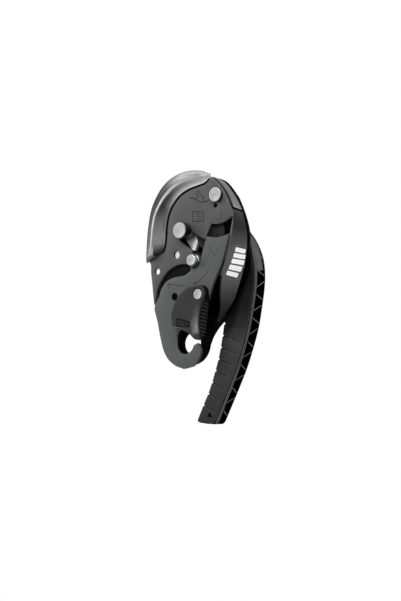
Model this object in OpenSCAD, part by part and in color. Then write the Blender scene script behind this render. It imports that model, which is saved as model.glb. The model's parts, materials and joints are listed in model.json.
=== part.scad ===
// Self-braking descender and belay device for a single rope.
// Frame: origin on the axis of the attachment hole, half way through the fixed
// side plate there. X right, Z up, Y points from the opening face to the back.

/* [Attachment] */
// Radius of the attachment hole for the connector
hole_r = 10.5; // [10:0.1:11]

/* [Side plates] */
// Thickness of the two opening plates
face_t = 3; // [2.6:0.1:3.2]
// Half thickness of the fixed plate at the attachment end
end_half_t = 2; // [1.8:0.1:2.2]
// Thickness of the fixed plate in its upper, dished part
back_t = 3.5; // [3:0.1:3.8]
// Thickness of the flared side wall
wall_t = 2.6; // [2.2:0.1:3]
// Thickness of the steel liner
liner_t = 2; // [1.6:0.1:2.1]

/* [Pivots] */
// Shank radius of the plate pivot
pivot_r = 4; // [3.8:0.1:4.2]
// Head radius of the plate pivot
pivot_head_r = 7.1; // [6.8:0.1:7.4]
// Shank radius of the keeper pin
keeper_r = 5.6; // [5.4:0.1:5.7]
// Head radius of the keeper pin
keeper_head_r = 7.8; // [7.4:0.1:8]
// Radius of the cam axle
axle_r = 6; // [5.8:0.1:6.2]
// Shank radius of the gate rivet
gate_pin_r = 3; // [2.8:0.1:3.2]
// Radial running clearance in every bearing
run_c = 0.05; // [0.03:0.01:0.09]

/* [Rope lip] */
// Height of the lip's ridge in front of the plates
lip_h = 6.6; // [5.6:0.2:7]
// Sheet thickness of the lip
lip_t = 1.7; // [1.4:0.1:2]

/* [Gate] */
// Thickness of the gate
gate_t = 6.5; // [6:0.1:7]

/* [Handle] */
// Radius of the handle's hub
hub_r = 22; // [21:0.5:22.5]
// Depth of the handle at its upper end
grip_t = 13; // [12:0.5:13.5]
// Depth of the handle at its free end
grip_end_t = 9.5; // [9:0.5:11]
// Radius of the push button
button_r = 6.2; // [5.8:0.1:6.4]

/* [Hidden] */
$fn = 72;

// axes along y, [x, z]
eye = [0, 0];            // attachment hole
pivot = [16.5, 139.7];   // plate pivot
keeper = [-15.8, 103.1]; // keeper pin and rope catch
post = [-0.5, 76.8];     // post joining the two opening plates
gate_axis = [13, 46];
axle = [12, 102];        // cam and handle
button = [37, 74];       // push button on the handle
guide = [-30, 80];       // rope guide pin
shoe_rivet_axes = [[14.5, 68.4], [22, 70.3]];
screw_axes = [for (a = [30, 150, 270]) axle + 14 * [cos(a), sin(a)]];

// depth levels along y
face_y = -12.5;              // front of the opening plates
face_in = face_y + face_t;   // their inner face
lap_in = face_in + 2.2;      // inner face of the lapped joint
back_in = 4.5;               // inner face of the fixed plate, upper part
back_y = back_in + back_t;   // its outer face
pin_tail_y = 9.4;            // rear ends of the keeper and pivot pins
rivet_tail_y = 9;            // rear ends of the shoe rivets and guide pin
washer_front_y = -14;        // front of the post washer
gate_y = face_y - gate_t;    // front of the gate
gate_seat_y = gate_y + 1.9;  // floor of the gate's front counterbore
shoe_y = -5.8;               // front of the rope shoe
cam_y = -8.4;                // front of the cam
cam_back_y = 3.8;            // back of the cam
grip_y = 10;                 // front of the handle's grip
hub_y = 23.5;                // back of the handle's hub
washer_y = 24.8;             // back of the axle washer
nut_y = washer_y + 3.6;      // back of the axle nut
pocket_y = 15;               // floor of the button's pocket

// radii and fits
fit = 0.02;              // radial gap of fixed fits
step = 0.1;              // overlap joining one turned step to the next
keeper_tail_r = 4;
guide_tail_r = 2.5;
rivet_r = 2;             // shoe rivets
post_r = 4;
stud_r = 2;
screw_r = 2;
bush_t = 1.5;            // wall of the gate and cam bushes
insert_r = axle_r + 4;   // bore in the hub for its insert
slot_r = norm(keeper - pivot);  // radius of the keeper slot about the plate pivot
slot_half = keeper_r + 0.5;     // half width of that slot

// colours shared by several nodes
pin_colour = [0.82, 0.82, 0.84];
spring_colour = [0.55, 0.56, 0.6];
bush_colour = [0.7, 0.6, 0.35];
sleeve_colour = [0.6, 0.6, 0.62];
stud_colour = [0.7, 0.7, 0.72];
lip_colour = [0.72, 0.72, 0.74];
bright_colour = [0.75, 0.75, 0.77];

// ---------- curves ----------

// Catmull-Rom point between b and c
function spline(a, b, c, d, t) = 0.5 * ((2 * b) + (c - a) * t
    + (2 * a - 5 * b + 4 * c - d) * t * t + (3 * b - a - 3 * c + d) * t * t * t);
// closed smooth curve through points, k steps between neighbours
function closed_curve(points, k = 4) = let (n = len(points))
    [for (i = [0 : n - 1]) for (j = [0 : k - 1])
        spline(points[(i + n - 1) % n], points[i], points[(i + 1) % n], points[(i + 2) % n], j / k)];
// open smooth curve through points
function curve(points, k = 4) = let (last = len(points) - 1) concat(
    [for (i = [0 : last - 1]) for (j = [0 : k - 1])
        spline(points[max(i - 1, 0)], points[i], points[i + 1], points[min(i + 2, last)], j / k)],
    [points[last]]);
function polar(centre, r, a) = centre + r * [cos(a), sin(a)];
function arc(centre, r, a0, a1, n) = [for (i = [0 : n]) polar(centre, r, a0 + (a1 - a0) * i / n)];
// direction of p seen from centre
function bearing(p, centre) = atan2(p[1] - centre[1], p[0] - centre[0]);

// ---------- building shapes ----------

// a flat shape drawn in x, z and given depth from y0 to y1
module slab(y0, y1) translate([0, y1, 0]) rotate([90, 0, 0]) linear_extrude(y1 - y0) children();
// a shape drawn in y, z and run across the whole device along x
module lath() translate([-80, 0, 0]) rotate([90, 0, 90]) linear_extrude(160) children();
// a round bar along y
module bar(p, y0, y1, r) translate([p[0], y1, p[1]]) rotate([90, 0, 0]) cylinder(r = r, h = y1 - y0);
module tube(p, y0, y1, outer_r, inner_r) difference() {
    bar(p, y0, y1, outer_r);
    bar(p, y0 - 1, y1 + 1, inner_r);
}
// cutters through the fixed plate and through the opening plates
module back_hole(p, r) bar(p, 0, 12, r);
module face_hole(p, r) bar(p, -20, 0, r);
// a turned head with a small chamfer on its front edge
module head(p, y0, y1, r, chamfer) translate([p[0], y1, p[1]]) rotate([90, 0, 0])
    rotate_extrude() polygon([[0, 0], [r, 0], [r, y1 - y0 - chamfer],
                              [r - chamfer, y1 - y0], [0, y1 - y0]]);
// a solid through sections of equal point count; flip turns the faces over
module loft(sections, flip = false) {
    m = len(sections[0]);
    n = len(sections) - 1;
    polyhedron([for (s = sections) each s], concat(
        [for (i = [0 : n - 1]) for (j = [0 : m - 1])
            let (a = i * m + j, b = i * m + (j + 1) % m)
            flip ? [b, a, a + m, b + m] : [a, b, b + m, a + m]],
        [[for (j = [0 : m - 1]) flip ? j : m - 1 - j],
         [for (j = [0 : m - 1]) n * m + (flip ? m - 1 - j : j)]]), convexity = 8);
}
// a wire coil about an axis along y
module coil(p, y0, y1, r, wire_r, turns) {
    turn_steps = 18;
    wire_sides = 7;
    steps = turns * turn_steps;
    loft([for (i = [0 : steps]) [for (j = [0 : wire_sides - 1])
        let (a = 360 * i / turn_steps, b = 360 * j / wire_sides, q = r + wire_r * cos(b))
        [p[0] + q * cos(a),
         y0 + wire_r + (y1 - y0 - 2 * wire_r) * i / steps + wire_r * sin(b),
         p[1] + q * sin(a)]]]);
}

// ---------- fixed body ----------

// fixed plate, [x, z]: right edge from the top down, left edge from the bottom up
back_right = [
    [-8, 157], [10, 154], [25, 142.5], [31, 135.5], [39, 123], [45, 110], [47.5, 97], [48, 85],
    [47, 73], [44, 59], [41, 48], [38, 37], [34, 25.5], [27.2, 16.5], [22.6, 8.5]];
back_left = [
    [-7.5, -18.6], [-14.5, -13.6], [-19.8, -5], [-25.5, 6], [-32, 22], [-38.5, 40], [-43.5, 57],
    [-46.5, 76], [-48.5, 95], [-48.5, 110], [-45, 126], [-37.5, 139], [-28, 149], [-18, 155]];
back_outline = concat(curve(back_right), arc(eye, 20.2, 2, -78, 12), curve(back_left, 3));
// side view of the fixed plate, [y, z]: it steps back above the attachment end
back_profile = [
    [-end_half_t, -40], [end_half_t, -40], [end_half_t, 28], [back_y, 47],
    [back_y, 180], [back_in, 180], [back_in, 47], [-end_half_t, 27]];

// edges of the flared wall from the top down: [front x, front y, front z, rear x, rear z]
wall_rows = curve([
    [6, -8.8, 155.2, 1, 156.3], [14.6, -8.8, 150.3, 12, 152.3], [22.8, -8.8, 143.4, 24.2, 142],
    [29, -8.8, 135.4, 31, 134.5], [33.3, -8.8, 128, 36.4, 126.6], [34.9, -8.8, 119, 41, 117.2],
    [34.6, -8.8, 108, 45, 107.5], [33.8, -8.8, 95, 47, 95], [32, -8.8, 79, 47.3, 80],
    [30.2, -8.6, 70, 45.8, 69.5], [30.4, -8, 60, 43.7, 60], [30.6, -7, 50, 41.2, 50.3],
    [32, -6, 40, 38.4, 40], [31.8, -5, 31, 35.6, 31.2], [29, -4, 22.5, 32.2, 22.6]]);
wall_last = len(wall_rows) - 1;
wall_start = 16;         // row where the liner gives way to the plate's own wall

// unit normal, in x, z, to the left of the device for a path running down
function inward(d) = [d[1], -d[0]] / norm(d);
// section of the wall or liner at row i: front outer, rear outer, rear inner, front inner;
// the liner stops just short of the fixed plate
function wall_section(i, liner) = let (
    row = wall_rows[i],
    d = wall_rows[min(i + 1, wall_last)] - wall_rows[max(i - 1, 0)],
    t = liner ? liner_t : wall_t,
    plate_y = back_in + 1.5,
    rear_y = row[2] > 46 ? plate_y : max(0.6, plate_y - (46 - row[2]) * 0.31),
    front_in = inward([d[0], d[2]]) * t,
    rear_in = inward([d[3], d[4]]) * t,
    front = [row[0], row[1], row[2]],
    rear = [row[3], rear_y, row[4]],
    front_inner = front + [front_in[0], 0, front_in[1]],
    rear_inner = rear + [rear_in[0], 0, rear_in[1]],
    share = liner ? (back_in - 0.02 - row[1]) / (rear_y - row[1]) : 1)
    [front, front + (rear - front) * share,
     front_inner + (rear_inner - front_inner) * share, front_inner];
module wall(first, last, liner) loft([for (i = [first : last]) wall_section(i, liner)]);

module fixed_side_plate() color([0.25, 0.25, 0.26]) difference() {
    union() {
        intersection() {
            slab(-4, back_y + 2) polygon(back_outline);
            lath() polygon(back_profile);
        }
        wall(wall_start, wall_last, liner = false);
    }
    bar(eye, -6, 6, hole_r);
    back_hole(pivot, pivot_r);
    back_hole(keeper, keeper_tail_r);
    back_hole(guide, guide_tail_r);
    back_hole(axle, axle_r);
    for (p = shoe_rivet_axes) back_hole(p, rivet_r);
}
module wall_liner() color([0.62, 0.63, 0.65]) wall(0, wall_start - 1, liner = true);

// a curved block below the cam
module rope_shoe() color([0.7, 0.71, 0.73]) difference() {
    slab(shoe_y, back_in) polygon(concat(arc(axle, 31, -100, -62, 16), arc(axle, 37.5, -62, -100, 16)));
    for (p = shoe_rivet_axes) bar(p, -8, 8, rivet_r);
}
module shoe_rivets() color([0.8, 0.8, 0.82]) for (p = shoe_rivet_axes) {
    front = shoe_y - 0.8;
    bar(p, front, rivet_tail_y, rivet_r - fit);
    bar(p, front, shoe_y, 2.9);
    bar(p, back_y, rivet_tail_y, 3.2);
}
module keeper_pin() color(pin_colour) union() {
    head_back = face_y - 0.6;
    head(keeper, -21.5, head_back, keeper_head_r, chamfer = 0.8);
    bar(keeper, head_back - step, back_in, keeper_r);
    bar(keeper, back_in - 0.5, pin_tail_y, keeper_tail_r - fit);
    bar(keeper, back_y, pin_tail_y, 5);
}
module pivot_pin() color(pin_colour) union() {
    head_back = face_y - 0.1;
    head(pivot, -15.6, head_back, pivot_head_r, chamfer = 0.7);
    bar(pivot, head_back - step, pin_tail_y, pivot_r - fit);
    bar(pivot, back_y, pin_tail_y, 6);
}
module pivot_spacer() color(sleeve_colour) tube(pivot, face_in + 0.1, back_in, 4.9, pivot_r);
module rope_guide_pin() color(pin_colour) union() {
    head_back = -4.9;
    head(guide, head_back - 1, head_back, 4.6, chamfer = 0.4);
    bar(guide, head_back - step, back_in, 3.6);
    bar(guide, back_in - 0.5, rivet_tail_y, guide_tail_r - fit);
    bar(guide, back_y, rivet_tail_y, 3.6);
}
module cam_axle() color(lip_colour) union() {
    head(axle, face_in + 0.3, cam_y - 0.1, 8, chamfer = 0.3);
    bar(axle, cam_y - 0.3, nut_y + 0.2, axle_r - fit);
}
module axle_washer() color(bright_colour) tube(axle, hub_y + 0.1, washer_y, 10, axle_r);
// a hexagon whose rear corners are trimmed by a cone
module axle_nut() color(stud_colour) difference() {
    intersection() {
        bar(axle, washer_y, nut_y, 10.4, $fn = 6);
        translate([axle[0], nut_y, axle[1]]) rotate([90, 0, 0])
            cylinder(r1 = 9.4, r2 = 11, h = nut_y - washer_y);
    }
    bar(axle, 20, 30, axle_r);
}
module cam_spring() color(spring_colour) coil(axle, 2.2, 4.4, r = 9.5, wire_r = 0.38, turns = 1.5);
module catch_spring() color(spring_colour) coil(keeper, -0.3, 4.3, r = 6.7, wire_r = 0.4, turns = 4);

// ---------- rope lip ----------

// inner and outer edges from the lower end to the upper end, [x, z]
lip_inner = curve([
    [-38, 83.4], [-37.4, 92], [-38.5, 104], [-38.4, 114], [-35.8, 123], [-31, 131],
    [-25, 137], [-16, 142.2], [-7, 146], [0.5, 149.4], [4.4, 153.7]], 3);
lip_outer = curve([
    [-59.1, 71], [-61, 88], [-61.7, 106], [-60, 122.3], [-54.3, 136.5], [-46.7, 147],
    [-37.3, 154.2], [-26.8, 158.8], [-16, 160.8], [-5.8, 160.7], [2.2, 158.4]], 3);
lip_last = len(lip_inner) - 1;
// front face of the section: [share of the width, share of the ridge height]
lip_top = [
    [0, 0.17], [0.14, 0.22], [0.28, 0.46], [0.42, 0.84], [0.51, 1], [0.66, 0.94],
    [0.8, 0.7], [0.92, 0.28], [0.985, -0.22], [1, -0.68]];
lip_crest = 4;           // row of the ridge in lip_top

// point of the lip's width at station i
function across_lip(i, share) = lip_inner[i] + (lip_outer[i] - lip_inner[i]) * share;
lip_stud_axes = [for (i = [4, 13, 22]) across_lip(i, 0.5)];

// section at station i: out along the front face, back along the underside;
// the ridge gets lower where the lip is narrower than 21
function lip_section(i) = let (
    width = norm(lip_outer[i] - lip_inner[i]),
    ridge = lip_h * min(1, width / 21),
    last = len(lip_top) - 1)
    concat(
        [for (q = lip_top) let (p = across_lip(i, q[0])) [p[0], face_y - q[1] * ridge, p[1]]],
        [for (j = [last : -1 : 0]) let (
            inset = j > lip_crest ? (j - lip_crest) / (last - lip_crest) : j > 0 ? -0.25 : 0,
            p = across_lip(i, lip_top[j][0] - lip_t / width * inset),
            top = lip_top[j][1] * ridge,
            height = j > last - 2 ? top : max(0, top - lip_t * 1.05))
            [p[0], face_y - height, p[1]]]);

module rope_lip() color(lip_colour) loft([for (i = [0 : lip_last]) lip_section(i)], flip = true);
module lip_studs() color(stud_colour) for (p = lip_stud_axes) {
    bar(p, face_y - 2.2, face_in + 0.5, stud_r - fit);
    bar(p, face_in, face_in + 1, 3.2);
}

// ---------- opening plates ----------

// upper plate, [x, z]: right edge down, lower edge from the post leftwards, left edge up
upper_right = [[6.3, 156.1], [15.1, 150.8], [23.3, 143.7], [29.5, 135.7], [34.2, 128.4]];
upper_bottom = [
    [-9.9, 72.4], [-16.3, 72], [-22.6, 69.8], [-31.2, 64.1], [-37.7, 54.7], [-41, 46],
    [-41.3, 39], [-41.7, 33.4]];
upper_left = [[-43, 34], [-46.7, 46.2], [-49.3, 55], [-51.1, 61.2], [-52.4, 68.5]];
keeper_a = bearing(pivot, keeper);
upper_outline = concat(
    curve(upper_right),
    arc(pivot, 27.2, -41.5, -96, 14),
    [polar(pivot, 39.5, -99.6)],
    // keeper slot with its round end
    arc(pivot, slot_r - slot_half, -99.6, -129, 10),
    arc(keeper, slot_half, keeper_a, keeper_a + 180, 14),
    [[-22, 94.4], [-5.6, 85.7]],
    arc(post, 6.3, 120, -120, 18),
    curve(upper_bottom),
    curve(upper_left),
    // edge hidden under the rope lip
    [for (i = [0 : lip_last]) across_lip(i, i > lip_last - 4 ? 0.3 : 0.66)]);
// further holes in the upper plate: [[x, z], radius]
upper_holes = [[[-43.5, 62.6], 2.5], [[-22.6, 80.1], 3.25], [[16, 129.8], 2.35]];

// hook shaped lower plate, [x, z]: right edge down, hook, left edge up, upper edge
lower_right = [
    [34.8, 97], [33.5, 86], [31, 75.3], [27.6, 65.6], [24.3, 55.2], [22, 45], [20, 36],
    [19, 27], [18, 19]];
lower_hook = [
    [15, 1.1], [17.9, -0.4], [20, -4], [20.2, -8.5], [18.8, -13], [16.4, -17.2], [12.8, -21]];
lower_left = [
    [2.5, -24.4], [-7.7, -22.9], [-17.9, -17.5], [-24.6, -10], [-29.6, 0], [-33.8, 10],
    [-37.9, 21.2], [-40.3, 28], [-40.6, 31.2]];
lower_top = [
    [-40, 34.6], [-39.2, 38.5], [-37.9, 45.6], [-34.6, 51.6], [-30.2, 56], [-22.4, 59.6],
    [-12, 62.1], [-4.8, 67.2]];
lower_outline = concat(
    [[9.9, 98.2]],
    arc(pivot, 39.6, -99.2, -61.5, 14),
    curve(lower_right),
    [[17, 16.6], [15.6, 16], [4, 16.4]],
    arc([0, 3], 11.6, 110, 176, 8),
    arc(eye, hole_r + 0.4, 182, 352, 24),
    curve(lower_hook),
    curve(lower_left, 3),
    curve(lower_top),
    arc(post, 7, -124, -15, 14),
    [[7.1, 83], [8.7, 91.6]]);
// tongue of the lower plate that laps behind the upper plate, [x, z]
lap_lower = [
    [-38.2, 30.8], [-36.6, 38], [-32, 44], [-26, 51], [-16, 56], [-5, 60], [4, 66.5], [8.3, 74]];
lap_upper = [
    [-12, 76.5], [-22, 74.2], [-32, 69], [-38.5, 59.5], [-42.3, 49.5], [-42.2, 40.5], [-41, 32.6]];
lap_outline = concat(curve(lap_lower, 3), arc(post, 8.4, 0, 110, 10), curve(lap_upper, 3));

module upper_side_plate() color([0.3, 0.3, 0.31]) difference() {
    slab(face_y, face_in) polygon(upper_outline);
    face_hole(pivot, pivot_r + run_c);
    face_hole(post, post_r);
    for (hole = upper_holes) face_hole(hole[0], hole[1]);
    for (p = lip_stud_axes) face_hole(p, stud_r);
}
module lower_side_plate() color([0.36, 0.36, 0.37]) difference() {
    union() {
        slab(face_y, face_in) polygon(lower_outline);
        slab(face_in, lap_in) polygon(lap_outline);
    }
    face_hole(post, post_r);
    face_hole(gate_axis, gate_pin_r);
    face_hole([-19, 41], 3.4);
}
module plate_post() color(pin_colour) union() {
    head_back = -15.6;
    head(post, -18, head_back, 5.2, chamfer = 0.5);
    bar(post, head_back - step, washer_front_y, 4.6);
    bar(post, washer_front_y - step, lap_in + 0.5, post_r - fit);
    bar(post, lap_in, lap_in + 1.2, 6);
}
module post_washer() color([0.85, 0.85, 0.87]) tube(post, washer_front_y, face_y, 6.2, post_r);

// ---------- gate ----------

// closed outline, [x, z]
gate_points = [
    [-15, 22.6], [-14.4, 30.2], [-12.5, 36.5], [-8.5, 43], [-2.6, 48.7], [5, 52.6], [11.4, 54],
    [16.5, 53.4], [20.2, 49.5], [22.3, 41.5], [22.8, 32], [23.1, 22], [23.3, 12], [22.8, 6.2],
    [19.5, 4.2], [15.2, 4.6], [8.6, 8.7], [-1, 11.9], [-7.9, 12.9], [-12, 13.9]];

module gate_rivet() color(pin_colour) union() {
    head_back = gate_y + 1.8;
    tail_y = face_in + 1.6;
    head(gate_axis, gate_y + 0.4, head_back, 5, chamfer = 0.4);
    bar(gate_axis, head_back - step, tail_y, gate_pin_r - fit);
    bar(gate_axis, face_in, tail_y, 5);
}
module gate_spring() color(spring_colour)
    coil(gate_axis, face_y - 2.2, face_y - 0.15, r = 6, wire_r = 0.28, turns = 2);
// counterbored in front for the rivet head and behind for the spring
module gate() color([0.2, 0.2, 0.21]) difference() {
    slab(gate_y, face_y - 0.1) polygon(closed_curve(gate_points));
    bar(gate_axis, -30, 0, gate_pin_r + bush_t);
    bar(gate_axis, gate_y - 1, gate_seat_y, 5.7);
    bar(gate_axis, face_y - 2.4, 0, 7);
}
module gate_bush() color(bush_colour)
    tube(gate_axis, gate_seat_y, face_y - 2.5, gate_pin_r + bush_t - fit, gate_pin_r + run_c);

// ---------- rope catch, cam ----------

// round the keeper pin, then down the left edge and up the right edge, [x, z]
catch_outline = concat(
    arc(keeper, 9, 20, 200, 20),
    curve([[-22, 97], [-18.5, 94.2], [-14.6, 90.4], [-10.6, 86.6]]),
    curve([[-7.6, 85.9], [-6, 92], [-4.7, 98.4]]));
module rope_catch() color(bright_colour) difference() {
    slab(-5.6, -0.6) polygon(catch_outline);
    bar(keeper, -10, 10, keeper_r + run_c);
}
// eccentric rim of the cam, grown by d
function cam_rim(d) = [for (a = [0 : 5 : 355]) polar(axle, 15.9 - 1.9 * cos(a + 65) + d, a)];
// two flanges with a groove between, and a ring recess for the spring
module cam() color([0.17, 0.17, 0.18]) difference() {
    flange_t = 2.2;
    union() {
        slab(cam_y, cam_y + flange_t) polygon(cam_rim(0.6));
        slab(cam_y + flange_t, cam_back_y - flange_t) polygon(cam_rim(-2.2));
        slab(cam_back_y - flange_t, cam_back_y) polygon(cam_rim(0.6));
    }
    bar(axle, -20, 20, axle_r + bush_t);
    tube(axle, 2, 8, 10.8, 8.2);
}
module cam_bush() color(bush_colour)
    tube(axle, cam_y + 0.1, cam_back_y, axle_r + bush_t - fit, axle_r + run_c);

// ---------- handle ----------

// right edge down, free end, left edge up, [x, z]
grip_right = [
    [32.6, 110.6], [42.8, 101.2], [51.6, 88.6], [56.2, 75.8], [58.2, 62], [58.4, 46.4],
    [57.4, 23.7], [54.8, 5.5], [50.4, -14.7], [44.8, -33.2], [38.6, -51.8], [33, -68.8]];
grip_end = [[30.5, -71.3], [20.4, -73], [11.4, -73], [8.9, -72.2]];
grip_left = [
    [8.3, -70.6], [13.2, -56], [17, -45.6], [19.6, -36.4], [21.6, -27.3], [23.4, -18.2],
    [24.9, -9], [25.6, 0], [26.1, 9], [26.2, 21.6], [26, 36], [24, 50], [19, 63], [11, 73], [0, 80]];
handle_outline = concat(
    arc(axle, hub_r, 196, 46, 30), curve(grip_right), grip_end, curve(grip_left));
// side view, [y, z]: the grip thins towards its free end
grip_end_y = grip_y + 0.8;
handle_profile = [
    [grip_end_y, -80], [grip_end_y + grip_end_t, -80], [grip_y + grip_t, 20],
    [grip_y + grip_t, 140], [grip_y, 140], [grip_y, 20]];

module handle() color([0.19, 0.19, 0.2]) difference() {
    union() {
        intersection() {
            slab(grip_y - 2, grip_y + grip_t + 1) polygon(handle_outline);
            lath() polygon(handle_profile);
        }
        bar(axle, back_y + 0.5, hub_y, hub_r - 4);
    }
    bar(axle, 0, 40, insert_r);
    bar(button, pocket_y, 40, button_r + run_c);
    for (p = screw_axes) bar(p, 0, 40, screw_r);
}
module hub_insert() color(sleeve_colour) difference() {
    bar(axle, back_y + 0.6, hub_y, insert_r - fit);
    bar(axle, 0, 40, axle_r + run_c);
}
// screws with a hexagon socket
module insert_screws() color(bright_colour) for (p = screw_axes) {
    head_y = hub_y + 1.4;
    difference() {
        union() {
            bar(p, back_y + 0.8, head_y, screw_r - fit);
            bar(p, hub_y, head_y, 3.4);
        }
        bar(p, 23.9, 25, 1.5, $fn = 6);
    }
}
module button_spring() color(spring_colour)
    coil(button, pocket_y + 0.05, 20.8, r = 3.2, wire_r = 0.45, turns = 4);
// a cup, open in front, with its rear edge bevelled
module handle_button() color([0.45, 0.45, 0.46]) difference() {
    rim_y = 24.7;
    bevel = 0.9;
    union() {
        bar(button, 18.5, rim_y, button_r);
        translate([button[0], rim_y - step, button[1]]) rotate([-90, 0, 0])
            cylinder(r1 = button_r, r2 = button_r - bevel, h = bevel);
    }
    bar(button, 10, 23.6, 4.2);
}

fixed_side_plate();
wall_liner();
rope_shoe();
shoe_rivets();
keeper_pin();
pivot_pin();
pivot_spacer();
rope_guide_pin();
cam_axle();
axle_washer();
axle_nut();
cam_spring();
catch_spring();
upper_side_plate();
lower_side_plate();
rope_lip();
lip_studs();
plate_post();
post_washer();
gate_rivet();
gate_spring();
gate();
gate_bush();
rope_catch();
cam();
cam_bush();
handle();
hub_insert();
insert_screws();
button_spring();
handle_button();
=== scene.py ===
"""A rope device: a fixed side plate, two opening plates in front of it, a cam and catch
between them, a thumb gate, and a long ribbed handle behind.

It stands upright, with +Z up, +X to the right and the front facing -Y. Shapes are drawn in mm
as (x, z) outlines that are given thickness along y. Axes of pins and rivets lie along y.
"""
import json
import math
import random

import bpy
import bmesh
import numpy as np
from mathutils import Vector, Matrix
from mathutils.geometry import delaunay_2d_cdt


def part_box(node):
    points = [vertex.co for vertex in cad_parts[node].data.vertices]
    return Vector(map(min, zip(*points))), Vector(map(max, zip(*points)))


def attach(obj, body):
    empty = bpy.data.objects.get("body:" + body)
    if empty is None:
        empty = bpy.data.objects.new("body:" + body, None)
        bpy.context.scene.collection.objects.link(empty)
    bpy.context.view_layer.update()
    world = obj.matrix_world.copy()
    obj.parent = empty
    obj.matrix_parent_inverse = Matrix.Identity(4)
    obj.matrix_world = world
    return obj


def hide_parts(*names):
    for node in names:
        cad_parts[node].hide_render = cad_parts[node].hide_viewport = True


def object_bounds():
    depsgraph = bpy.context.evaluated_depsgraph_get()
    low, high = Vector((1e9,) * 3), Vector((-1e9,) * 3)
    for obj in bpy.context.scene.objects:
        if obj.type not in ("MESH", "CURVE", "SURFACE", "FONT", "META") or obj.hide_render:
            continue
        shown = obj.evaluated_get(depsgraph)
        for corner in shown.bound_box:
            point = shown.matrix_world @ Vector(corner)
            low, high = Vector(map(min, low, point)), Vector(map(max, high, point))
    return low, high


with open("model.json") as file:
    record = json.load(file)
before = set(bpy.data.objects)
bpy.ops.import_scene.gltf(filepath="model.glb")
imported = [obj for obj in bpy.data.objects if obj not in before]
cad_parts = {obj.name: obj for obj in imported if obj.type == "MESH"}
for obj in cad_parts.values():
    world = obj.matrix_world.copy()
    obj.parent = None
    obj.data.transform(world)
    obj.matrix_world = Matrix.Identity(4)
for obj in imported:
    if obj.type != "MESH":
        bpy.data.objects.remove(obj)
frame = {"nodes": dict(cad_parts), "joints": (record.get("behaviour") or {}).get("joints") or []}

random.seed(7)
MM = 0.001
cad_lo, cad_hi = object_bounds()
JOINTS = {joint["name"]: joint for joint in frame["joints"]}


# ---------------------------------------------------------------- places taken from the CAD
def joint_at(name):
    """The (x, z) of a joint in mm."""
    pos = JOINTS[name]["pos_m"]
    return (pos[0] * 1000, pos[2] * 1000)


def box_mm(node):
    lo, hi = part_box(node)
    return [v * 1000 for v in lo], [v * 1000 for v in hi]


def middle(node):
    """The (x, z) of the middle of a node's box in mm."""
    lo, hi = box_mm(node)
    return ((lo[0] + hi[0]) / 2, (lo[2] + hi[2]) / 2)


PIVOT = joint_at("plate_swing")
GATE_PIN = joint_at("gate_hinge")
KEEPER = joint_at("catch_hinge")
CAM_AXLE = joint_at("cam_turn")
POST = middle("plate_post")
BUTTON = middle("handle_button")
GUIDE_PIN = middle("rope_guide_pin")
# y of the faces, front to rear
PLATE_FRONT = box_mm("upper_side_plate")[0][1]
PLATE_REAR = box_mm("upper_side_plate")[1][1]
TONGUE_REAR = box_mm("lower_side_plate")[1][1]
FRAME_REAR = box_mm("fixed_side_plate")[1][1]
FRAME_FRONT = FRAME_REAR - 3.5
GATE_FRONT = box_mm("gate")[0][1]
GATE_REAR = box_mm("gate")[1][1]


# ---------------------------------------------------------------- numbers and curves
def clamp(t):
    return min(1.0, max(0.0, t))


def smoothstep(t):
    return t * t * (3 - 2 * t)


def unit(vector):
    return vector / np.linalg.norm(vector)


def polar(centre, radius, degrees):
    turn = math.radians(degrees)
    return (centre[0] + radius * math.cos(turn), centre[1] + radius * math.sin(turn))


def spline_point(before, start, end, after, t):
    """The point at share t of a Catmull-Rom span from start to end."""
    before, start, end, after = (np.array(p, float) for p in (before, start, end, after))
    return 0.5 * (2 * start + (end - before) * t
                  + (2 * before - 5 * start + 4 * end - after) * t * t
                  + (3 * start - before - 3 * end + after) * t ** 3)


def curve(points, steps):
    """A smooth open curve through the points."""
    last = len(points) - 1
    spans = [spline_point(points[max(i - 1, 0)], points[i], points[i + 1],
                          points[min(i + 2, last)], j / steps)
             for i in range(last) for j in range(steps)]
    return np.array(spans + [np.array(points[-1], float)])


def closed_curve(points, steps):
    n = len(points)
    return np.array([spline_point(points[i - 1], points[i], points[(i + 1) % n],
                                  points[(i + 2) % n], j / steps)
                     for i in range(n) for j in range(steps)])


def arc(centre, radius, start, end, steps=24):
    return np.array([polar(centre, radius, start + (end - start) * i / steps)
                     for i in range(steps + 1)])


def circle(centre, radius, count=48):
    return arc(centre, radius, 0, 360, count)[:-1]


def area(loop):
    x, z = loop[:, 0], loop[:, 1]
    return 0.5 * float(np.sum(x * np.roll(z, -1) - np.roll(x, -1) * z))


def clean(loop, gap=0.02):
    """Drops the points of a closed loop that lie within the gap of the one before."""
    out = []
    for p in loop:
        if not out or math.hypot(p[0] - out[-1][0], p[1] - out[-1][1]) > gap:
            out.append((float(p[0]), float(p[1])))
    while len(out) > 2 and math.hypot(out[0][0] - out[-1][0], out[0][1] - out[-1][1]) <= gap:
        out.pop()
    return np.array(out)


def ccw(loop):
    """The loop wound counter-clockwise in (x, z)."""
    return loop if area(loop) > 0 else loop[::-1]


def refine(loop, steps):
    """More points on the smooth stretches of a closed loop, with its corners kept."""
    corner, short_span, long_span = 24, 0.8, 12
    loop = clean(loop)
    n = len(loop)
    span = np.roll(loop, -1, 0) - loop
    heading = np.arctan2(span[:, 1], span[:, 0])
    turn = (heading - np.roll(heading, 1) + math.pi) % (2 * math.pi) - math.pi
    sharp = np.abs(turn) > math.radians(corner)
    out = []
    for i in range(n):
        before, start, end, after = (loop[(i + k) % n] for k in (-1, 0, 1, 2))
        if sharp[i]:
            before = 2 * start - end
        if sharp[(i + 1) % n]:
            after = 2 * end - start
        count = steps if short_span < np.linalg.norm(end - start) <= long_span else 1
        out += [spline_point(before, start, end, after, j / count) for j in range(count)]
    return clean(np.array(out))


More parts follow.
